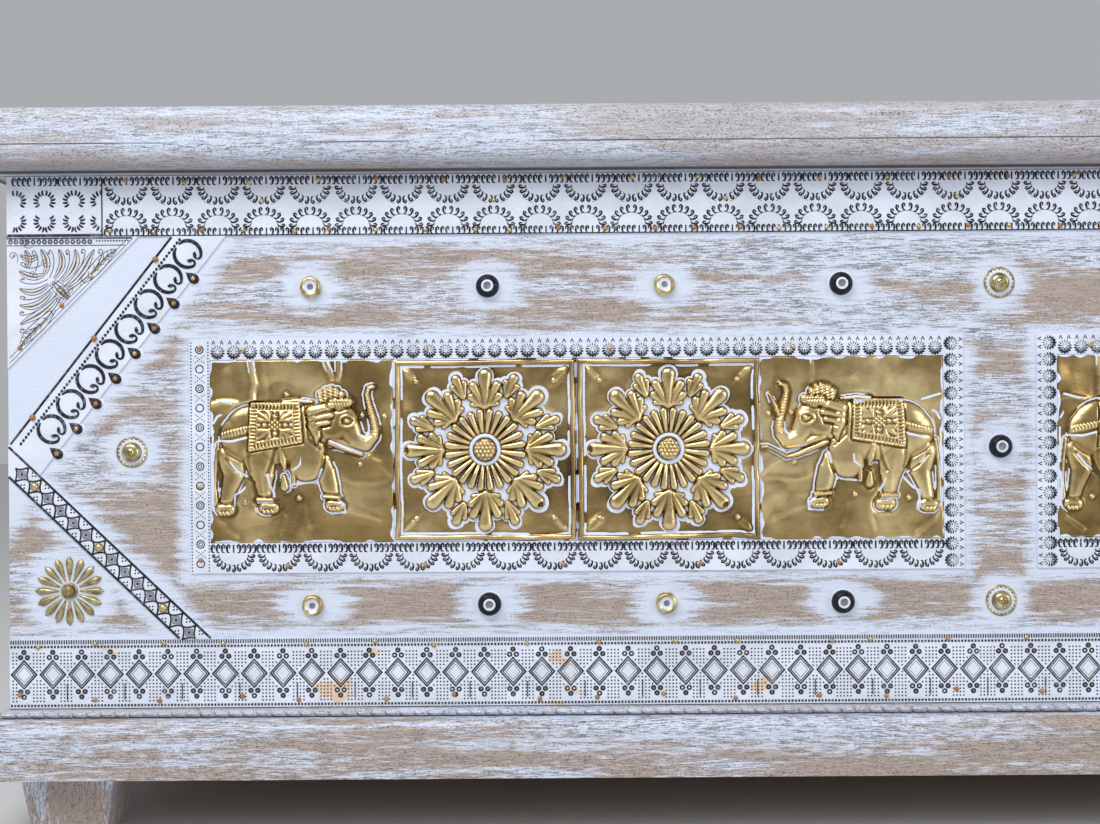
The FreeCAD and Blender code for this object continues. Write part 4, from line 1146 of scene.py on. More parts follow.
def beast_harness(u, v, tall, height, outside):
    """Adds the saddle cloth, the strap to the tail and the hangings."""
    inside, figures = saddle_cloth(u, v)
    height -= 0.7 * MM * ridge(inside + 0.006, 0.006)
    cloth = np.maximum(height, 0.55 * tall) + MM * (0.3 + 1.0 * figures)
    height = np.where(inside > -0.002, cloth, height)
    strap = eased(finger(u, v, CRUPPER)[0], 0.002, -0.004)
    height += strap * MM * (0.2 + 0.8 * (0.5 + 0.5 * np.cos((u + 0.3 * v) * 330)))
    for path, share in HANGINGS:
        gap, crown = finger(u, v, path)
        outside = np.minimum(outside, gap)
        height = np.where(crown > 0, np.maximum(height, share * tall * crown ** 0.6), height)
    tassel = finger(u, v, HANGINGS[0][0])[0]
    dots = np.maximum(0, np.cos(u * 420) * np.cos(v * 420)) * eased(tassel, 0, -0.006)
    return height - 0.5 * MM * dots, outside


def elephant_relief(u, v, seed, tusks=(TUSK,), folds=FOLDS):
    """Height, paint and shine level of an elephant plate, the shine darkened by a painted shadow line round
    each figure; the elephant walks to the right.
    """
    relief = settings("relief")
    tall = relief.beast_rise
    height, outside = beast_form(u, v, tall, tusks)
    height, outside = beast_features(u, v, tall, height, outside)
    height, outside = beast_harness(u, v, tall, height, outside)
    crease = np.zeros(u.shape)
    waver = 0.012 * unevenness(u, v, 9, seed + 9)
    for path, share in folds:
        crease = np.maximum(crease, share * ridge(stroke_gap(u + waver, v - waver, path, 0.0), 0.018))
    clear_field = eased(outside, 0.0, 0.025)
    field = 1.1 * MM * unevenness(u, v, 5, seed) + 0.5 * MM * unevenness(u, v, 12, seed + 1)
    height += clear_field * (field + 0.9 * MM * crease)
    line = relief.paint_line / PLATE_SIZE
    drop = unevenness(u, v, 13, seed + 2)
    painted = eased(outside, 0.001, 0.004) * eased(outside, 1.2 * line, 0.7 * line) * eased(drop, -0.3, 0.1)
    for path in PAINT_STROKES:
        gap = stroke_gap(u, v, path, 0.0055)
        painted = np.maximum(painted, eased(gap, 0.003, -0.002) * eased(drop, -0.6, -0.2))
    ragged = 0.012 + 0.018 * unevenness(u, v, 23, seed + 3)
    painted = np.maximum(painted, 0.9 * eased(edge_gap(u, v), ragged, ragged - 0.006))
    top_folds = eased(v, 0.88, 0.98) * eased(crease, 0.25, 0.4) * eased(crease, 0.9, 0.7)
    painted = np.maximum(painted, top_folds * clear_field)
    for spot_x, spot_y in PLATE_TACKS:
        height, painted = tack_ring(u, v, spot_x, spot_y, height, painted)
    tarnish = 0.24 * unevenness(u, v, 4, seed + 3) * clear_field
    # Painted shadow: the thin dark line round the edge of every figure
    return height, painted, 0.07 * np.clip(height / tall, 0, 1) - 0.32 * ridge(outside, 0.004) + tarnish


def fork_trunked(u, v, seed):
    """An elephant plate with a forked trunk, a long wavy tusk line and a smoother sheet over the back."""
    return elephant_relief(u, v, seed, (LONG_TUSK, TRUNK_FORK), SMOOTH_FOLDS)


def crests(height, steps):
    """How far each place of a plate stands above those round it, in metres."""
    square = height.reshape(steps + 1, steps + 1)
    around = square
    for shift in (1, 2, 3):
        wide = np.pad(around, shift, mode="edge")
        inner = slice(shift, -shift)
        before, after = slice(None, -2 * shift), slice(2 * shift, None)
        around = (wide[before, inner] + wide[after, inner] + wide[inner, before] + wide[inner, after]) / 4
    return (square - around).ravel()


# The sheet of a plate: its polish, how deep a dent may go and how far it stands off the wood
FLAT_POLISH = 0.46
DENT_LIMIT = -0.3 * MM
FLAT_RISE = 0.9 * MM


def beaten_plate(node, relief_maker, seed, backwards=False, bright=0.0):
    """A brass sheet beaten into relief, in the place of its CAD plate; some are made lighter all over."""
    low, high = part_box(node)
    steps = settings("relief").grid
    clear()
    bpy.ops.mesh.primitive_grid_add(x_subdivisions=steps, y_subdivisions=steps, size=1)
    piece = bpy.context.object
    points = np.empty(len(piece.data.vertices) * 3)
    piece.data.vertices.foreach_get("co", points)
    u, v = points.reshape(-1, 3)[:, 0] + 0.5, points.reshape(-1, 3)[:, 1] + 0.5
    height, painted, lift = relief_maker(1 - u if backwards else u, v, seed)
    # Partly polish and tarnish, partly painted light: places that stand above their surroundings are made
    # lighter, as a painted highlight, and hollows darker, as painted shade
    polish_and_shade = np.clip(FLAT_POLISH + bright + lift + crests(height, steps) / (1 * MM), 0.1, 1)
    edge = edge_gap(u, v)
    polish_and_shade = np.maximum(polish_and_shade, 0.34 * eased(edge, 0.018, 0.010))
    height = (np.clip(height, DENT_LIMIT, None) + FLAT_RISE) * eased(edge, 0.0, 0.006)
    height = np.minimum(height, WOOD_FACE - low.y)
    placed = (low.x + u * (high.x - low.x), WOOD_FACE - height, low.z + v * (high.z - low.z))
    piece.data.vertices.foreach_set("co", np.column_stack(placed).ravel())
    piece.data.update()
    piece.name = node + "_beaten"
    piece.data.name = piece.name
    piece.data.materials.append(material("beaten_brass"))
    note(piece, "paint", painted)
    note(piece, "rise", polish_and_shade)
    hold(piece)
    bpy.ops.object.shade_smooth()
    settle(piece, (node,))


# Stamped figures

LOOP_RISE = 0.45 * MM
LOOP_GROUP = 9
# Upright figures about one unit high: path of (x, y, width share), thickness and flatness
CURL = (
    ((0.15, -0.5, 0.5), (-0.12, -0.44, 0.9), (-0.2, -0.1, 1.2), (-0.18, 0.28, 1.2), (0.02, 0.48, 1.0),
     (0.18, 0.3, 1.0), (0.13, 0.06, 0.8), (0.02, 0.14, 0.5)), 0.13, 0.5)
BEAN = (
    ((0.06, -0.46, 0.5), (-0.06, -0.28, 1.0), (-0.08, 0.0, 1.15), (-0.04, 0.28, 1.0), (0.08, 0.46, 0.5)),
    0.18, 0.45)
STROKE = (((0, -0.48, 0.8), (0, 0.48, 0.8)), 0.13, 0.4)
# Radius and height of a tack's head, as shares of its radius
TACK_HEAD = ((1, 0), (0.92, 0.45), (0.55, 0.8), (0, 0.9))
TACK_SIDES = 8


def unit_figure(path, thick, flat):
    """A figure about one unit high that stands off the sheet by the rise of the loops."""
    shape = beaten_line([path], thick, flat)
    return Shape(shape.points * (1, 1, LOOP_RISE / shape.points[:, 2].max()), shape.faces)


def loop_row(start, end, z, tall, pitch):
    """A row of upright loops that face the middle of each group from both sides."""
    loop, straight = unit_figure(*CURL), unit_figure(*STROKE)
    middle = LOOP_GROUP // 2
    copies = []
    for index, x in enumerate(spaced(start, end, pitch)):
        place = index % LOOP_GROUP
        shape = straight if place == middle else loop
        copies.append(Copy(shape, x, z, 0.0, tall if place < middle else -tall, tall))
    return copies


def loop_arc(x, z, radius_x, radius_z, start, end, count, tall, shape):
    """Loops set round part of an ellipse, curling towards its middle from both sides."""
    copies = []
    for turn in np.radians(np.linspace(start, end, count)):
        place = x + radius_x * cos(turn), z + radius_z * sin(turn)
        outward = atan2(sin(turn) / radius_z, cos(turn) / radius_x)
        wide = tall if cos(turn) < 0 else -tall
        copies.append(Copy(shape, *place, outward - pi / 2, wide, tall))
    return copies


def line_between(x0, z0, x1, z1, wide, rise=0.35):
    """A straight raised line on the front; its rise is in millimetres."""
    path = [(x0, z0, 1.0), (x1, z1, 1.0)]
    return Copy(beaten_line([path], wide / 2, flat=min(1.0, rise * MM * 2 / wide)), 0.0, 0.0)


def tacks(name, places, radius=1.5 * MM, face=TIN_FACE):
    """Small domed tacks; places are (x, z, rust share)."""
    head = turned(TACK_HEAD, TACK_SIDES, radius)
    copies = [Copy(head, x, z) for x, z, _ in places]
    piece = stamped(name, copies, ("tack_heads",), face, smooth=60)
    note(piece, "rust", np.repeat([rust for _, _, rust in places], len(head.points)))


class Slant:
    """Places along a slanting strip at the left end: along it from its outer end, and across it inwards."""

    def __init__(self, run, end_z):
        across, up = run, end_z - MEET
        self.size = hypot(across, up)
        self.run = (across / self.size, up / self.size)
        self.side = (self.run[1], -self.run[0])
        self.turn = atan2(self.run[1], self.run[0])

    def at(self, along_strip, across_strip):
        """The place on the front, as (x, z)."""
        return (-END + self.run[0] * along_strip + self.side[0] * across_strip,
                MEET + self.run[1] * along_strip + self.side[1] * across_strip)


def within(place, margin):
    """Whether a place lies on the front between the strips."""
    x, z = place
    return x > -END + margin and BOTTOM_TOP + margin < z < STRIP_LOW - margin


# Operators

class ChestPiece:
    """What every operator of the chest shares."""
    bl_options = {"REGISTER", "UNDO"}

    def execute(self, context):
        self.make()
        return {"FINISHED"}


class CHEST_OT_wood(ChestPiece, bpy.types.Operator):
    """Whitewash the boards, lid, base and feet, and leave the inside bare"""
    bl_idname = "chest.wood"
    bl_label = "Wood"

    def make(self):
        corners = [f"{row}_{side}" for row in ("front", "rear") for side in SIDES]
        dress(["front_upper_board"], "front_whitewash")
        dress(["front_lower_board"], "low_front_whitewash")
        dress(["rear_lower_board", "rear_upper_board"], "rear_whitewash")
        dress([f"{side}_end_{row}_board" for side in SIDES for row in ("lower", "upper")], "end_whitewash")
        dress(["lid_moulding_front"], "lid_edge_whitewash")
        dress([f"lid_moulding_{side}" for side in SIDES], "lid_side_whitewash")
        dress([f"lid_{row}_plank" for row in ("front", "middle", "rear")], "lid_top_whitewash")
        dress(["base_moulding_front"], "base_whitewash")
        dress([f"base_moulding_{side}" for side in SIDES], "base_side_whitewash")
        dress([f"foot_{corner}" for corner in corners], "foot_whitewash")
        dress([f"corner_post_{corner}" for corner in corners], "bare_posts")
        dress(["floor_cleat_front", "floor_cleat_rear"], "bare_cleats")
        dress(["floor_planks", "lid_battens"], "bare_planks")


class CHEST_OT_tin(ChestPiece, bpy.types.Operator):
    """Paint the flat tin strips, corner plates and panel borders white"""
    bl_idname = "chest.tin"
    bl_label = "White tin"

    def make(self):
        dress(["top_strip", "top_corner_plates", "upper_brace_strips", "lower_brace_strips",
               "leaf_corner_plates", "left_panel_border", "right_panel_border"], "white_tin")
        dress(["bottom_strip"], "stained_tin")


class CHEST_OT_hinges(ChestPiece, bpy.types.Operator):
    """Darken the iron hinges"""
    bl_idname = "chest.hinges"
    bl_label = "Hinges"

    def make(self):
        parts = ("hinge_body_leaf", "hinge_lid_leaf", "hinge_pin")
        dress([f"{part}_{side}" for part in parts for side in SIDES], "hinge_iron")


class CHEST_OT_flower_plates(ChestPiece, bpy.types.Operator):
    """Beat the four flower plates out of brass"""
    bl_idname = "chest.flower_plates"
    bl_label = "Flower plates"

    def make(self):
        for seed, panel in enumerate(SIDES):
            beaten_plate(f"{panel}_panel_flower_left", flower_relief, 11 + seed)
            beaten_plate(f"{panel}_panel_flower_right", flower_relief, 21 + seed)


class CHEST_OT_elephant_plates(ChestPiece, bpy.types.Operator):
    """Beat the four elephant plates out of brass, each elephant facing the flowers"""
    bl_idname = "chest.elephant_plates"
    bl_label = "Elephant plates"

    def make(self):
        for seed, panel in enumerate(SIDES):
            beaten_plate(f"{panel}_panel_elephant_left", elephant_relief, 31 + 5 * seed)
            beaten_plate(f"{panel}_panel_elephant_right", fork_trunked, 51 + 5 * seed, True, 0.2)


class CHEST_OT_top_strip(ChestPiece, bpy.types.Operator):
    """Stamp the arcs and loops of the top strip and the rings of its corner plates"""
    bl_idname = "chest.top_strip"
    bl_label = "Top strip"

    top_row = STRIP_TOP - 3 * MM
    top_tall = 4.8 * MM

    def make(self):
        self.strip()
        self.corner_plates()
        self.nails()

    def strip(self):
        """Rows of loops along the edges, and arcs of loops that hang and stand between them."""
        stamping = settings("stamping")
        upper, lower = STRIP_TOP - 7.6 * MM, STRIP_LOW + 6.6 * MM
        edge, tall = STRIP_LOW + 0.3 * MM, 4.3 * MM
        loop = unit_figure(*CURL)
        loops = loop_row(-STRIP_END, STRIP_END, STRIP_LOW + 2.5 * MM, tall, stamping.loop_pitch)
        loops += loop_row(-STRIP_END, STRIP_END, self.top_row, self.top_tall, stamping.loop_pitch)
        flanks = [arc_path(12 * MM, 10.4 * MM, start, start + 50, 6) for start in (200, 290)]
        hanging = beaten_line(flanks, 0.14 * MM)
        standing = beaten_line([arc_path(7.9 * MM, 5.7 * MM, 0, 180, 12)], 0.15 * MM)
        lines = [line_between(-END, edge, END, edge, 0.7 * MM)]
        for x in spaced(-STRIP_END, STRIP_END, stamping.arc_pitch):
            loops += loop_arc(x, upper, 10.4 * MM, 7.6 * MM, 180, 360, 10, tall, loop)
            loops += loop_arc(x, lower, 10.4 * MM, 8.2 * MM, -4, 184, 10, tall, loop)
            lines += [Copy(hanging, x, upper), Copy(standing, x, lower)]
        stamped("top_strip_loops", loops)
        stamped("top_strip_lines", lines)

    def corner_plates(self):
        """Rings of beans, cut by the inner edge of each plate."""
        seam, foot = STRIP_END + 0.8 * MM, STRIP_LOW + 0.9 * MM
        upper, lower = STRIP_TOP - 14.5 * MM, STRIP_LOW + 9 * MM
        pitch, tall, radius_z = 17.6 * MM, 3.5 * MM, 4.8 * MM
        seed = unit_figure(*BEAN)
        corner = [line_between(seam, STRIP_LOW + 1.5 * MM, seam, STRIP_TOP - 1.5 * MM, 0.9 * MM),
                  line_between(STRIP_END, foot, END - 0.5 * MM, foot, 1.6 * MM)]
        corner += loop_row(STRIP_END, END, self.top_row, self.top_tall, settings("stamping").loop_pitch)
        for x in np.arange(STRIP_END + pitch, END, pitch):
            corner += loop_arc(x, upper, 5.2 * MM, radius_z, -35, 215, 12, tall, seed)
            corner += loop_arc(x, lower, 5.2 * MM, radius_z, 145, 395, 12, tall, seed)
        corner += loop_arc(STRIP_END, upper, 6.4 * MM, radius_z, -30, 80, 6, tall, seed)
        corner += loop_arc(STRIP_END, lower, 6.4 * MM, radius_z, -80, 30, 6, tall, seed)
        stamped("top_corner_rings", mirrored([copy for copy in corner if copy.x < END - 2.6 * MM]))

    def nails(self):
        """Tacks along both edges, a little off their lines, and a few between the arcs."""
        chance = np.random.default_rng(5)
        rows = (
            (12 * MM, 38 * MM, 3, STRIP_TOP - 3.2 * MM, 1, (0.2, 1)),
            (4 * MM, 27 * MM, 4, STRIP_LOW + 2.8 * MM, 0.6, (0, 0.9)),
        )
        places = []
        for first, pitch, sway, z, nod, rust in rows:
            for x in np.arange(-STRIP_END + first, STRIP_END, pitch):
                places.append((x + chance.uniform(-sway, sway) * MM,
                               z + chance.uniform(-nod, nod) * MM,
                               chance.uniform(*rust)))
        for x in np.arange(-STRIP_END + 95 * MM, STRIP_END, 139 * MM):
            places.append((x, STRIP_LOW + 20.5 * MM, 0.15))
        tacks("top_strip_tacks", places)


class CHEST_OT_bottom_strip(ChestPiece, bpy.types.Operator):
    """Stamp the diamonds, rings and dots of the bottom strip"""
    bl_idname = "chest.bottom_strip"
    bl_label = "Bottom strip"

    middle = (BOTTOM_LOW + BOTTOM_TOP) / 2
    wide, tall = 7.5 * MM, 8.4 * MM
    ring_places = ((0, 13.4), (-2.05, 10.3), (2.05, 10.3))

    def make(self):
        places = spaced(-END, END, settings("stamping").diamond_pitch)
        pitch = 2 * END / len(places)
        pits = self.diamonds(places)
        self.dots(places, pitch)
        stamped("bottom_strip_pits", pits, ("stud_grey",))
        self.nails()

    def diamonds(self, places):
        """Diamonds one in the other with three rings above and below; gives the pits in most rings."""
        corners = ((self.wide, 0, 1), (0, self.tall, 1), (-self.wide, 0, 1), (0, -self.tall, 1))
        second = [(0.80 * x, 0.80 * y, 0.7) for x, y, _ in corners]
        third = [(0.56 * x, 0.56 * y, 1) for x, y, _ in corners]
        thick = beaten_line([corners, second], 0.7 * MM, 0.55, closed=True)
        thin = beaten_line([third], 0.2 * MM, 0.8, closed=True)
        ring = beaten_ring(1.15, 0.55, 10, 0.7)
        pit = beaten_dot(0.9, 0.2, 8)
        figures, pits = [], []
        for index, x in enumerate(places):
            figures += [Copy(thick, x, self.middle), Copy(thin, x, self.middle)]
            for side in (-1, 1):
                for across, up in self.ring_places:
                    place = x + across * MM, self.middle + side * up * MM
                    figures.append(Copy(ring, *place))
                    if (index * 7 + int(up + across) + side) % 4:
                        pits.append(Copy(pit, *place))
        foot = BOTTOM_LOW + 0.5 * MM
        figures.append(line_between(-END, foot, END, foot, 0.6 * MM))
        stamped("bottom_strip_diamonds", figures)
        return pits

    def dots(self, places, pitch):
        """Ticks and squares along the edges, squares between some diamonds, and fine dots all over."""
        tick = beaten_bar(0.7, 2.5, 0.4)
        square = beaten_bar(1.25, 1.4, 0.4)
        dot = beaten_dot(0.68, 0.3, 4)
        dot_pitch = settings("stamping").dot_pitch
        fine = []
        for x in places[1::2]:
            for step in np.arange(6.5, 15, 1.6):
                fine.append(Copy(square, x + pitch / 2, self.middle - step * MM, 0, 0.55, 1.0))
        for x in np.arange(-END + 0.9 * MM, END - 0.8 * MM, 1.45 * MM):
            fine.append(Copy(tick, x, BOTTOM_TOP - 1.6 * MM))
        for x in np.arange(-END + 1.2 * MM, END - 1 * MM, 2 * MM):
            fine += [Copy(square, x, BOTTOM_TOP - 4.4 * MM), Copy(square, x, BOTTOM_LOW + 2.4 * MM)]
        for z in np.arange(BOTTOM_LOW + 5 * MM, BOTTOM_TOP - 6.4 * MM, dot_pitch):
            up = abs(z - self.middle)
            for x in np.arange(-END + dot_pitch, END - 0.5 * dot_pitch, dot_pitch):
                beside = abs((x + END) % pitch - pitch / 2)
                on_diamond = beside / self.wide + up / self.tall < 1.26
                on_rings = beside < 4.4 * MM and up > 8 * MM
                if not on_diamond and not on_rings:
                    fine.append(Copy(dot, x, z, pi / 4))
        stamped("bottom_strip_dots", fine, smooth=10)

    def nails(self):
        """Tacks strewn along both edges."""
        chance = np.random.default_rng(8)
        places = []
        for x in np.arange(-END + 9 * MM, END, 43 * MM):
            places.append((x + chance.uniform(-8, 8) * MM,
                           BOTTOM_LOW + chance.uniform(4, 9) * MM,
                           chance.uniform(0.5, 1)))
            places.append((x + chance.uniform(-14, 14) * MM,
                           BOTTOM_TOP - chance.uniform(2, 5) * MM,
                           chance.uniform(0, 0.7)))
        tacks("bottom_strip_tacks", places)


class CHEST_OT_panel_borders(ChestPiece, bpy.types.Operator):
    """Stamp the daisies, rings and scallops round the two panels of plates"""
    bl_idname = "chest.panel_borders"
    bl_label = "Panel borders"

    # Rounds of a daisy: reach in millimetres, number of ticks and their size
    rounds = ((3.15, 14, 1.0), (1.5, 7, 0.6))
    daisy_line = 4.6 * MM

    def daisies(self, places, facing):
        """Rounds of small ticks, heavier on the side that faces the plates, each under two spear heads."""
        tick = beaten_drop(1.3, 0.86, 0.42, 6)
        head = in_mm(((-1.0, -1.3, 0.8), (0, 1.3, 1.2), (1.0, -1.3, 0.8)))
        spear = beaten_line([head], 0.5 * MM, 0.6)
        cosine, sine = cos(facing), sin(facing)
        away = -5.7 * MM
        copies = []
        for x, z in places:
            for reach, number, size in self.rounds:
                for turn in round_about(number) + facing:
                    near = cos(turn - facing)
                    copies.append(Copy(
                        tick, x + reach * MM * cos(turn), z + reach * MM * sin(turn), turn,
                        size * (1 + 0.15 * near), size * (0.85 + 0.5 * near)))
            for beside in (-2.45 * MM, 2.45 * MM):
                copies.append(Copy(
                    spear, x + away * cosine - beside * sine, z + away * sine + beside * cosine,
                    facing + pi / 2, 0.9, 0.8))
        return copies

    def ring_column(self, x):
        """Rings, every second one double, with crossed ticks between and a line of dots on each side."""
        ring = beaten_ring(2.3, 0.36, 14, 0.9)
        pupil = beaten_ring(1.1, 0.28, 10, 0.9)
        tick = beaten_drop(0.85, 0.78, 0.42, 6)
        dot = beaten_dot(0.55, 0.38, 5)
        rows = spaced(PANEL_LOW, PANEL_TOP, settings("stamping").ring_pitch)
        pitch = (PANEL_TOP - PANEL_LOW) / len(rows)
        copies = []
        for index, z in enumerate(rows):
            copies.append(Copy(ring, x, z))
            if index % 2:
                copies.append(Copy(pupil, x, z))
            if index == len(rows) - 1:
                continue
            for reach in (-3.2, -1.6, 0, 1.6, 3.2):
                for way in (1, -1):
                    spot = x + 0.78 * reach * MM, z + pitch / 2 + 0.62 * way * reach * MM
                    copies.append(Copy(tick, *spot, way * 0.7, 0.55, 0.6))
        for z in np.arange(PANEL_LOW + 1.5 * MM, PANEL_TOP - 1 * MM, 1.9 * MM):
            copies += [Copy(dot, x - 5.1 * MM, z), Copy(dot, x + 5.1 * MM, z)]
        return copies

    def make(self):
        pitch = settings("stamping").rosette_pitch
        loop = unit_figure(*CURL)
        for panel, side in zip(SIDES, (-1, 1)):
            near, far = sorted((side * PLATE_NEAR, side * PLATE_FAR))
            inner, outer = side * (PLATE_NEAR - self.daisy_line), side * (PLATE_FAR + PANEL_FAR) / 2
            above = [(x, PLATE_TOP + self.daisy_line) for x in spaced(near, far, pitch)]
            beside = [(inner, z) for z in spaced(PANEL_LOW, PANEL_TOP, pitch)]
            figures = self.daisies(above, -pi / 2)
            figures += self.daisies(beside, 0.0 if side > 0 else pi)
            figures += self.ring_column(outer)
            figures += loop_row(near, far, PLATE_LOW - 3.2 * MM, 4.9 * MM, 3.05 * MM)
            places = [(outer, PANEL_TOP - 4.5 * MM, 0.4),
                      (outer, PANEL_LOW + 52 * MM, 0.1),
                      (outer, PANEL_LOW + 8 * MM, 0.7)]
            for index, x in enumerate(spaced(near, far, 27 * MM)):
                figures += loop_arc(
                    x, PANEL_LOW + 11 * MM, 10.8 * MM, 8.2 * MM, 184, 356, 11, 4.2 * MM, loop)
                if index % 3 == 1:
                    places.append((x + 5 * MM, PANEL_LOW + 4.2 * MM, 0.6))
            places += [(x, PLATE_TOP + 5.5 * MM, 0.4) for x in np.arange(near + 20 * MM, far, 110 * MM)]
            stamped(f"{panel}_border_figures", figures)
            tacks(f"{panel}_border_tacks", places)


# Half of a scroll of the upper slanting strips, in mm: path of (in from the edge, along, width share)
SCROLL = (
    (-7.7, 1.2, 0.6), (-6.6, 4.4, 0.95), (-3.4, 7.2, 1.15), (0.6, 7.9, 1.25), (4.2, 6.8, 1.15),
    (6.7, 4.4, 1), (7.2, 2.5, 0.85), (6.3, 1.3, 0.75), (4.9, 1.15, 0.8), (3.9, 1.8, 1.1),
    (3.5, 2.8, 1.5), (3.7, 3.3, 1.2))


class CHEST_OT_upper_braces(ChestPiece, bpy.types.Operator):
    """Stamp the scrolls, pendants and rope line of the upper slanting strips"""
    bl_idname = "chest.upper_braces"
    bl_label = "Upper slanting strips"

    def make(self):
        slant = Slant(BRACE_RUN, STRIP_LOW)
        self.rope(slant)
        self.scrolls(slant)
        nails = [(*slant.at(step, 1.6 * MM), 0.95) for step in np.arange(22 * MM, slant.size, 60 * MM)]
        tacks("upper_slant_tacks", both_ends(nails), 1.9 * MM, TIN_FACE - 0.3 * MM)

    def rope(self, slant):
        """The line along the outer edge, with a row of slanted beads beside it."""
        bead = beaten_drop(1.25, 1.15, 0.6, 6)
        ends = (*slant.at(1 * MM, 1 * MM), *slant.at(slant.size, 1 * MM))
        line = [line_between(*ends, 1.5 * MM, 0.55)]
        for step in np.arange(5 * MM, slant.size + 4 * MM, 2.5 * MM):
            place = slant.at(step, 5.8 * MM)
            if within(place, 1 * MM):
                line.append(Copy(bead, *place, slant.turn + 0.5))
        stamped("upper_slant_lines", mirrored(line))

    def scrolls(self, slant):
        """Pairs of scrolls, with a pendant on its own seat of tin between each pair and the next."""
        pitch = settings("stamping").scroll_pitch
        turn = atan2(slant.side[1], slant.side[0])
        scroll = beaten_line([smooth_path(in_mm(SCROLL), 3)], 0.95 * MM, 0.75, round_steps=1)
        faint = beaten_line([arc_path(9 * MM, 9 * MM, 100, 170, 8)], 0.18 * MM)
        drop = beaten_drop(5.0, 3.7, 1.3, 12)
        seat = beaten_drop(6.6, 5.2, 1.15, 12)
        scrolls, seats, bulbs = [], [], []
        step = slant.size - 2.1 * MM
        while step > 20 * MM:
            place = slant.at(step, 14.9 * MM)
            for way in (1, -1):
                scrolls += [Copy(scroll, *place, turn, 1, way), Copy(faint, *place, turn, 1, way)]
            hang = slant.at(step - pitch / 2, 25.4 * MM)
            if within(hang, 4 * MM):
                seats.append(Copy(seat, *hang, turn))
                scrolls.append(Copy(drop, *hang, turn))
                bulbs.append((*slant.at(step - pitch / 2, 26.6 * MM), 0.35 + 0.3 * (len(bulbs) % 3)))
            step -= pitch
        stamped("upper_slant_scrolls", mirrored(scrolls))
        stamped("upper_slant_pendant_seats", mirrored(seats), ("white_tin",), face=WOOD_FACE)
        tacks("upper_slant_pendant_tacks", both_ends(bulbs), face=TIN_FACE - 0.9 * MM)


class CHEST_OT_lower_braces(ChestPiece, bpy.types.Operator):
    """Stamp the nested squares of the lower slanting strips"""
    bl_idname = "chest.lower_braces"
    bl_label = "Lower slanting strips"

    # Dots between the squares: share of a pitch along, and millimetres out from the middle
    dot_places = ((0.5, 3.6), (0.38, 5.0), (0.62, 5.0))

    def make(self):
        slant = Slant(LOWER_RUN, BOTTOM_TOP)
        middle = LOWER_WIDTH / 2
        pitch = settings("stamping").square_pitch
        half = pitch / 2 / MM
        quarter = ((half, 0), (half - 1.3, 0.5), (2.7, 1.6), (1.9, 2.6), (1, 3.9), (0.35, 5.1), (0, 6.2))
        quarters = [smooth_path(in_mm(quarter, a, b), 2) for a in (1, -1) for b in (1, -1)]
        outer = beaten_line(quarters, 0.56 * MM, 0.7)
        nested = [in_mm(((r, 0), (0, r), (-r, 0), (0, -r))) for r in (2.9, 1.9)]
        square = beaten_line(nested, 0.3 * MM, 0.8, closed=True)
        core = beaten_dot(1.2, 0.4, 4)
        dot = beaten_dot(0.62, 0.4, 6)
        last = slant.size + middle * slant.side[1] / -slant.run[1] - 5.4 * MM
        steps = [step for step in np.arange(last, 0, -pitch) if within(slant.at(step, middle), 3.6 * MM)]
        figures, places = [], []
        for number, step in enumerate(steps):
            place = slant.at(step, middle)
            figures.append(Copy(outer, *place, slant.turn))
            if number % 5 == 2:
                places.append((*place, 0.08))
            else:
                figures += [Copy(square, *place, slant.turn), Copy(core, *place, slant.turn)]
            for way in (1, -1):
                for share, across in self.dot_places:
                    spot = slant.at(step + share * pitch, middle + way * across * MM)
                    if within(spot, 1 * MM):
                        figures.append(Copy(dot, *spot))
        for across in (0.8 * MM, LOWER_WIDTH - 0.8 * MM):
            first = across * slant.run[1] / slant.run[0]
            reach = across * slant.run[0] / -slant.run[1]
            ends = (*slant.at(-first + 0.4 * MM, across), *slant.at(slant.size - reach - 0.4 * MM, across))
            figures.append(line_between(*ends, 1.5 * MM, 0.5))
        stamped("lower_slant_squares", mirrored(figures))
        tacks("lower_slant_tacks", both_ends(places), 2.8 * MM)


# Leaf plate, in mm right of and below its square corner: path of (right, down), half width, feathered
PLUMES = (
    (((43, 28), (50.5, 22), (56.5, 15.5), (61, 11), (65.5, 8)), 3.4, True),
    (((36, 30), (42, 24.5), (46.5, 18.5), (49.5, 13), (52.5, 7.6)), 2.2, False),
    (((33, 27), (38, 22), (41, 17), (41.8, 12), (40.8, 7.4)), 2, False),
    (((28.5, 25), (31.6, 20.5), (33.2, 15.5), (32.6, 11), (31, 7.4)), 1.8, False),
    (((26.5, 27.5), (30.6, 32), (34, 35), (37, 36.6)), 2.6, True),
    (((22.5, 22.5), (24, 18), (23.6, 13.5), (22, 10), (20.4, 7.4)), 1.9, False),
    (((11.5, 18.5), (13.2, 15), (12.6, 11), (10.8, 8)), 1.7, False),
)
STEMS = (
    ((36, 33), (46, 26), (52.5, 19.5), (56.5, 12.5), (57.4, 8.6), (55.6, 7.6), (55.2, 9.4)),
    ((33.5, 30.5), (40, 24), (44.4, 17.5), (46.6, 11.5), (46.8, 8.2), (45.2, 7.6), (45, 9.2)),
    ((30, 27.5), (34.6, 22), (37, 16.5), (37.6, 11), (36.8, 8), (35.4, 8.4), (36, 10)),
    ((25.5, 24.5), (27.6, 19.5), (28.2, 14.5), (27.4, 9.6), (25.8, 8), (25, 9.6)),
    ((17, 20.5), (18.6, 16), (18.2, 11.4), (16.6, 8.4), (15.2, 9.2), (16, 10.8)),
)
SWIRL = (
    (0, 0, 0.5), (4.6, 1.6, 1), (7.2, 5.4, 1), (5.6, 8.8, 1), (2.4, 8.2, 1), (2.2, 5.6, 1), (4.4, 5.6, 1.4))
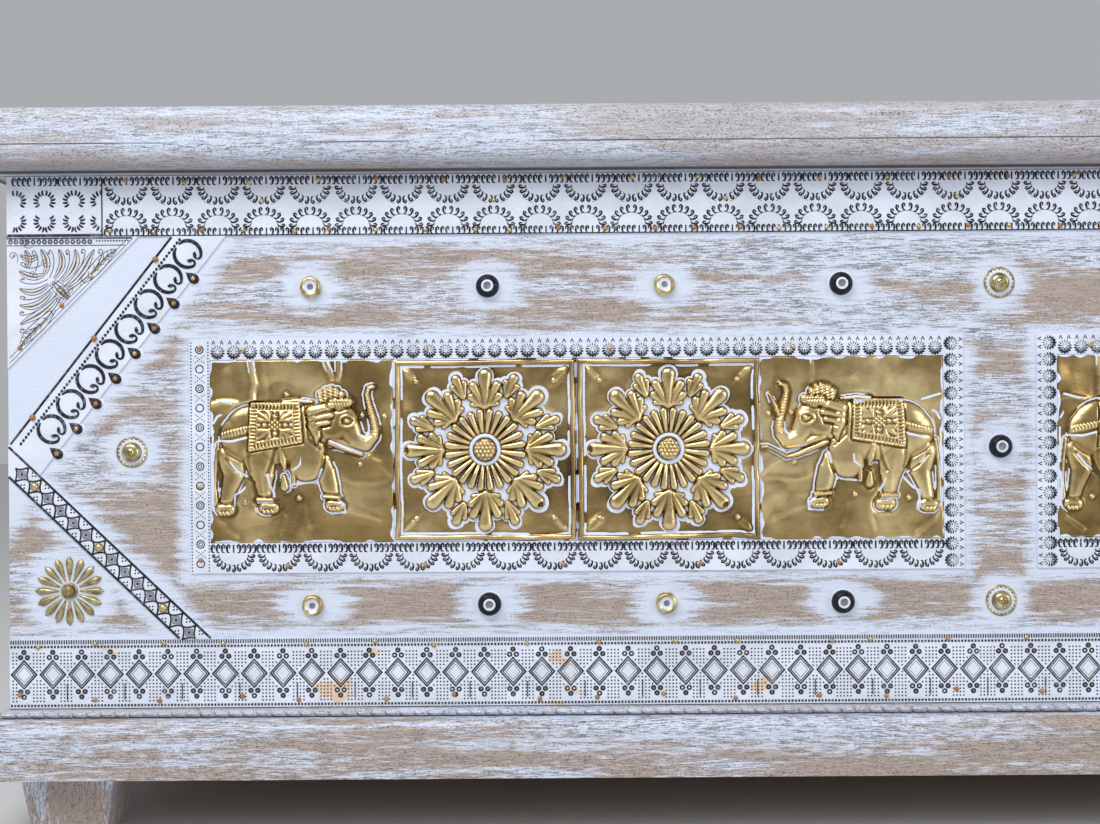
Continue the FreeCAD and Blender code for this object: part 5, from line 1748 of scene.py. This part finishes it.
SWIRLS = ((37, 34.5, 20, 0.5), (6, 16, 60, 0.7), (17.5, 26.5, 62, 0.6))
# The plate's thin slanting lines (mm in from its slope), and its edge lines (mm down, mm wide)
SLOPE_LINES = (1.2, 3.4)
EDGE_LINES = ((0.9, 1.2), (5.2, 0.6))
# Nails along the slope: share of the way along it, and how rusty
SLOPE_NAILS = ((0.12, 0.9), (0.44, 0.9), (0.66, 0.2))


class CHEST_OT_leaf_plates(ChestPiece, bpy.types.Operator):
    """Draw the leaf sprays and the beaded edge of the leaf plates"""
    bl_idname = "chest.leaf_plates"
    bl_label = "Leaf plates"

    @staticmethod
    def drawn(paths):
        """Thin dark lines."""
        return beaten_line(paths, 0.27 * MM, 0.9)

    def plume(self, path, half, feathered):
        """A feather or leaf: gold down its middle between two dark outlines."""
        middle = smooth_path(in_mm(path, 1, -1), 4)
        last = len(middle) - 1
        sides = {1: [], -1: []}
        barbs = []
        for index, (x, y, _) in enumerate(middle):
            ahead, behind = middle[min(index + 1, last)], middle[max(index - 1, 0)]
            turn = atan2(ahead[1] - behind[1], ahead[0] - behind[0])
            swell = sin(pi * (0.08 + 0.92 * index / last)) ** 0.7
            reach = half * MM * swell
            for way in sides:
                off = way * reach
                sides[way].append((x - off * sin(turn), y + off * cos(turn), 0.5 + 0.5 * swell))
                if feathered and index % 2 and swell > 0.3:
                    tip = turn + way * 0.7
                    end = (x + reach * cos(tip) * 1.1, y + reach * sin(tip) * 1.1, 0.6)
                    barbs.append([(x, y, 1.0), end])
        vein = [(x, y, 0.4 + 0.8 * sin(pi * index / len(middle)))
                for index, (x, y, _) in enumerate(middle)]
        dark = [self.drawn([sides[1], sides[-1]])]
        if barbs:
            dark.append(self.drawn(barbs))
        return dark, beaten_line([vein], 0.5 * MM, 0.7)

    def spray(self):
        """Dark lines and gold leaves on one side of the plate's diagonal."""
        swirl = beaten_line([smooth_path(in_mm(SWIRL), 3)], 0.3 * MM, 0.9)
        pip = beaten_drop(1.7, 1.2, 0.6, 8)
        dark, gold = [], []
        for path, half, feathered in PLUMES:
            lines, vein = self.plume(path, half, feathered)
            dark += [Copy(shape, -END, STRIP_LOW) for shape in lines]
            gold.append(Copy(vein, -END, STRIP_LOW))
        for path in STEMS:
            stem = self.drawn([smooth_path(in_mm(path, 1, -1), 3)])
            dark.append(Copy(stem, -END, STRIP_LOW))
            right, down = path[-1]
            gold.append(Copy(pip, -END + right * MM, STRIP_LOW - down * MM, -0.9, 0.7, 0.7))
        for right, down, degrees, size in SWIRLS:
            x, z, turn = -END + right * MM, STRIP_LOW - down * MM, radians(degrees)
            dark.append(Copy(swirl, x, z, turn, size, size))
            reach, tip = 7 * MM * size, turn + 0.9
            gold.append(Copy(pip, x + reach * cos(tip), z + reach * sin(tip), turn, size, size))
        return dark, gold

    def edges(self):
        """Beads, dots and lines along the top of the plate, and lines along its slope."""
        bead = beaten_ring(1.05, 0.55, 8, 0.8)
        dot = beaten_dot(0.7, 0.4, 5)
        copies = []
        for step in np.arange(2.2 * MM, LEAF_LEG - 26 * MM, 3.4 * MM):
            copies.append(Copy(bead, -END + step, STRIP_LOW - 3 * MM))
        for step in np.arange(LEAF_LEG - 25 * MM, LEAF_LEG - 5 * MM, 1.7 * MM):
            copies.append(Copy(dot, -END + step, STRIP_LOW - 2.6 * MM))
        for drop, wide in EDGE_LINES:
            z = STRIP_LOW - drop * MM
            copies.append(line_between(-END, z, -END + LEAF_LEG - (drop + 3) * MM, z, wide * MM))
        for inset in SLOPE_LINES:
            short = LEAF_LEG - (2 + 1.4 * inset) * MM
            copies.append(line_between(
                -END + 1.5 * MM, STRIP_LOW - short, -END + short, STRIP_LOW - 1.5 * MM, 0.4 * MM))
        return copies

    @staticmethod
    def across_diagonal(copy):
        """The same figure flipped over the line from the square corner to the middle of the slope."""
        points, faces = copies_joined([copy], 0.0)
        right, down = points[:, 0] + END, STRIP_LOW - points[:, 2]
        flat = np.column_stack((-END + down, STRIP_LOW - right, -points[:, 1]))
        return Copy(Shape(flat, [face[::-1] for face in faces]), 0.0, 0.0)

    def make(self):
        dark, gold = self.spray()
        flipped = [self.across_diagonal(copy) for copy in dark]
        flipped_gold = [self.across_diagonal(copy) for copy in gold]
        stamped("leaf_plate_lines", mirrored(dark + self.edges() + flipped), ("leaf_lines",))
        stamped("leaf_plate_gold", mirrored(gold + flipped_gold), ("leaf_gold",))
        nails = [(-END + share * LEAF_LEG - 2 * MM, STRIP_LOW - (1 - share) * LEAF_LEG + 3 * MM, rust)
                 for share, rust in SLOPE_NAILS]
        tacks("leaf_plate_tacks", both_ends(nails))


# Fittings, in mm: (radius, height) of what is turned, (reach, half width, rise) along a petal
ROSETTE_BOSS = ((5, 0), (4.9, 1.4), (4.2, 2), (3.6, 1.7), (2.9, 3), (1.6, 3.7), (0, 3.8))
ROSETTE_PETAL = (
    (6.3, 0.5, 0.6), (9, 1, 1.1), (12.5, 1.75, 1.7), (16, 2.4, 2.1), (18.2, 2.2, 1.9), (19.6, 1.1, 1.2),
    (20.8, 0.15, 0.5))
BRASS_STUD = (
    (6.5, 0), (6.5, 1.6), (6.2, 3), (5.6, 3.9), (4.8, 4.2), (4.1, 3.9), (3.8, 3.6), (2.2, 3.8), (1.9, 3.5),
    (0, 3.6))
BLACK_STUD = (
    (7.8, 0), (7.7, 0.6), (7.1, 1), (6.9, 2.2), (6.3, 3.7), (5.2, 4.8), (4.2, 5.1), (3.6, 4.8), (3.4, 4.9),
    (2.4, 5), (2.2, 4.7), (0, 4.8))
FLOWER_DOME = (
    (5.8, 0.8), (5.8, 2), (5.3, 3.3), (4.3, 4.2), (3.1, 4.6), (2.5, 4.2), (2, 5), (1.3, 5.2),
    (1, 3.9), (0, 3.5))
FLOWER_WASHER = ((9.6, 0), (9.5, 0.25), (7.6, 0.4), (6.8, 1), (6, 1), (5.6, 0.2))
FLOWER_LOBES = 20
ROSETTE_PETALS = 16


class CHEST_OT_rosettes(ChestPiece, bpy.types.Operator):
    """Beat the sixteen-petalled rosettes of the lower corners"""
    bl_idname = "chest.rosettes"
    bl_label = "Corner rosettes"

    def make(self):
        petal = self.petal()
        copies = [Copy(turned(ROSETTE_BOSS, 20), ROSETTE_X, ROSETTE_Z)]
        for turn in round_about(ROSETTE_PETALS):
            copies.append(Copy(petal, ROSETTE_X, ROSETTE_Z, turn))
        stamped("corner_rosettes_beaten", mirrored(copies), ("rosette_brass",), WOOD_FACE,
                replaced=("corner_rosettes",))

    @staticmethod
    def petal():
        """A long petal, widest near its pointed outer end."""
        across = np.linspace(-1, 1, 7)
        row = len(across)
        points, faces = [], []
        for reach, half, rise in ROSETTE_PETAL:
            for c in across:
                points.append((reach * MM, half * MM * c, rise * MM * sqrt(max(0.0, 1 - c * c))))
        for ring in range(len(ROSETTE_PETAL) - 1):
            for a in range(ring * row, ring * row + row - 1):
                faces.append((a, a + row, a + row + 1, a + 1))
        return Shape(np.array(points), faces)


class CHEST_OT_studs(ChestPiece, bpy.types.Operator):
    """Turn the brass, black and flower studs"""
    bl_idname = "chest.studs"
    bl_label = "Studs"

    def ringed(self, node, slot, places, profile, reaches, rim_finish):
        """Studs with a grey middle and a white ring inside a coloured rim; reaches in mm part the three."""
        head = turned(profile, 28)
        finishes = (rim_finish, "stud_white", "stud_grey")
        copies = [Copy(head, x, z) for x, z in places]
        piece = stamped(node + "_turned", copies, finishes, WOOD_FACE, 60, (node,))
        middle, ring, rim = reaches
        index = []
        for face in head.faces:
            reach = np.mean([hypot(*head.points[i][:2]) for i in face]) / MM
            index.append(2 if reach < middle else 0 if ring < reach < rim else 1)
        piece.data.polygons.foreach_set("material_index", index * len(places))

    def flowers(self, places):
        """Domes on scalloped washers."""
        dome, washer = turned(FLOWER_DOME, 28), turned(FLOWER_WASHER, 36)
        rim = beaten_ring(8.9, 0.75, 36)
        lobe = beaten_dot(1.25, 1.6, 8)
        reach = 8.4 * MM
        copies, index = [], []
        for x, z in places:
            copies += [Copy(dome, x, z), Copy(washer, x, z), Copy(rim, x, z)]
            index += [0] * len(dome.faces) + [1] * len(washer.faces) + [2] * len(rim.faces)
            for turn in round_about(FLOWER_LOBES):
                place = x + reach * cos(turn), z + reach * sin(turn)
                copies.append(Copy(lobe, *place, turn + pi / 2 + 0.5))
                index += [2] * len(lobe.faces)
        finishes = ("fitting_brass", "stud_white", "rosette_brass")
        piece = stamped("flower_studs_turned", copies, finishes, WOOD_FACE, 60, ("flower_studs",))
        piece.data.polygons.foreach_set("material_index", index)

    def make(self):
        steps = [FIRST_STUD + index * STUD_PITCH for index in range(STUDS_IN_ROW)]
        rows = (UPPER_STUDS, LOWER_STUDS)
        dark, gold = [[(side * x, z) for x in steps[first::2] for z in rows for side in (1, -1)]
                      for first in (0, 1)]
        dark.append((0.0, END_STUD_UP))
        self.ringed("brass_studs", "brass", gold, BRASS_STUD, (1.9, 3.9, 9.0), "stud_brass")
        self.ringed("black_studs", "black_iron", dark, BLACK_STUD, (2.3, 3.5, 7.05), "stud_black")
        self.flowers([(0.0, z) for z in rows] + [(END_STUD, END_STUD_UP), (-END_STUD, END_STUD_UP)])


class CHEST_OT_roped_bead(ChestPiece, bpy.types.Operator):
    """Carve the roped bead on the base's ledge"""
    bl_idname = "chest.roped_bead"
    bl_label = "Roped bead"

    rounds = 7
    step = 0.9 * MM
    groove_deep, groove_half = 0.45, 0.14

    def make(self):
        low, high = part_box("base_beads")
        pitch = settings("stamping").rope_pitch
        deep = WOOD_FACE - low.y
        middle, half = (low.z + high.z) / 2, (high.z - low.z) / 2
        runs = (((low.x, low.y), (high.x, low.y), (0, 1)),
                ((high.x, low.y), (high.x, high.y), (-1, 0)),
                ((low.x, high.y), (low.x, low.y), (1, 0)))
        points, faces = [], []
        for (x0, y0), (x1, y1), (in_x, in_y) in runs:
            size = hypot(x1 - x0, y1 - y0)
            count = int(size / self.step)
            start = len(points)
            for reach in np.linspace(0, size, count + 1):
                for turn in np.linspace(0, pi, self.rounds):
                    phase = (reach / pitch + 0.6 * turn / pi) % 1.0
                    groove = 1 - self.groove_deep * max(0.0, 1 - abs(phase - 0.5) / self.groove_half)
                    inward = deep * (1 - sin(turn) * groove)
                    share = min(max(reach, inward), size - inward) / size
                    points.append((x0 + (x1 - x0) * share + in_x * inward,
                                   y0 + (y1 - y0) * share + in_y * inward,
                                   middle - half * cos(turn) * (0.9 + 0.1 * groove)))
            for index in range(count):
                for turn in range(self.rounds - 1):
                    a = start + index * self.rounds + turn
                    faces.append((a, a + self.rounds, a + self.rounds + 1, a + 1))
        new_piece("roped_bead", points, faces, ("bead_whitewash",), 50, ("base_beads",))


class CHEST_OT_stage(ChestPiece, bpy.types.Operator):
    """Set the pale floor, the soft lights and the camera"""
    bl_idname = "chest.stage"
    bl_label = "Floor, lights and camera"

    floor_size = 14
    room_colour = (0.93, 0.96, 1.0, 1.0)

    def light(self, name, place, aim, wide, tall, power):
        """A soft light that faces its aim."""
        lamp = bpy.data.lights.new(name, "AREA")
        lamp.shape = "RECTANGLE"
        lamp.size, lamp.size_y = wide, tall
        lamp.energy = power
        piece = linked(name, lamp)
        piece.location = place
        way = [a - p for a, p in zip(aim, place)]
        flat = hypot(way[0], way[1])
        piece.rotation_euler = Euler((atan2(flat, -way[2]), 0, atan2(-way[0], way[1])))

    def make(self):
        stage, scene = settings("stage"), bpy.context.scene
        scene.view_settings.view_transform = "Standard"
        clear()
        bpy.ops.mesh.primitive_plane_add(size=self.floor_size)
        floor = bpy.context.object
        floor.name = "pale_floor"
        paint = Paint("floor_paint")
        colour = paint.mix(paint.noise(1.5, 2), tinted(stage.floor, 0.98), tinted(stage.floor, 1.02))
        floor.data.materials.append(paint.done(colour, 0.8))
        clear()
        world = bpy.data.worlds.new("pale_room")
        world.use_nodes = True
        background = world.node_tree.nodes["Background"]
        background.inputs["Color"].default_value = self.room_colour
        background.inputs["Strength"].default_value = stage.room
        scene.world = world
        aim = (stage.aim_x, WOOD_FACE, stage.aim_z)
        self.light("key_light", (-0.9, -1.5, 1.75), aim, 1.8, 1.0, stage.key)
        self.light("fill_light", (1.5, -1.7, 0.7), aim, 1.0, 1.0, stage.fill)
        lens = bpy.data.cameras.new("front_camera")
        lens.lens = stage.lens
        lens.sensor_width = 36.0
        lens.clip_start = 0.01
        camera = linked("front_camera", lens)
        camera.location = (stage.aim_x, WOOD_FACE - stage.distance, stage.aim_z)
        camera.rotation_euler = Euler((pi / 2, stage.roll, 0))
        scene.camera = camera


OPERATORS = (
    CHEST_OT_wood, CHEST_OT_tin, CHEST_OT_hinges, CHEST_OT_flower_plates, CHEST_OT_elephant_plates,
    CHEST_OT_top_strip, CHEST_OT_bottom_strip, CHEST_OT_panel_borders, CHEST_OT_upper_braces,
    CHEST_OT_lower_braces, CHEST_OT_leaf_plates, CHEST_OT_rosettes, CHEST_OT_studs, CHEST_OT_roped_bead,
    CHEST_OT_stage,
)


class CHEST_PT_panel(bpy.types.Panel):
    """The chest's settings, and its pieces in the order they are made"""
    bl_idname = "CHEST_PT_panel"
    bl_label = "Storage chest"
    bl_space_type = "VIEW_3D"
    bl_region_type = "UI"
    bl_category = "Chest"

    def draw(self, context):
        for name, group in GROUPS.items():
            box = self.layout.box()
            for setting in group.__annotations__:
                box.prop(getattr(context.scene, name), setting)
        for operator in OPERATORS:
            self.layout.operator(operator.bl_idname)


def register():
    """Adds the settings, the operators and the panel."""
    for name, group in GROUPS.items():
        bpy.utils.register_class(group)
        setattr(bpy.types.Scene, name, PointerProperty(type=group))
    for operator in OPERATORS:
        bpy.utils.register_class(operator)
    bpy.utils.register_class(CHEST_PT_panel)


def unregister():
    """Takes away what register has added."""
    bpy.utils.unregister_class(CHEST_PT_panel)
    for operator in reversed(OPERATORS):
        bpy.utils.unregister_class(operator)
    for name, group in GROUPS.items():
        delattr(bpy.types.Scene, name)
        bpy.utils.unregister_class(group)


def main():
    """Makes every piece in order."""
    register()
    for operator in OPERATORS:
        family, name = operator.bl_idname.split(".")
        getattr(getattr(bpy.ops, family), name)()


if __name__ == "__main__":
    main()
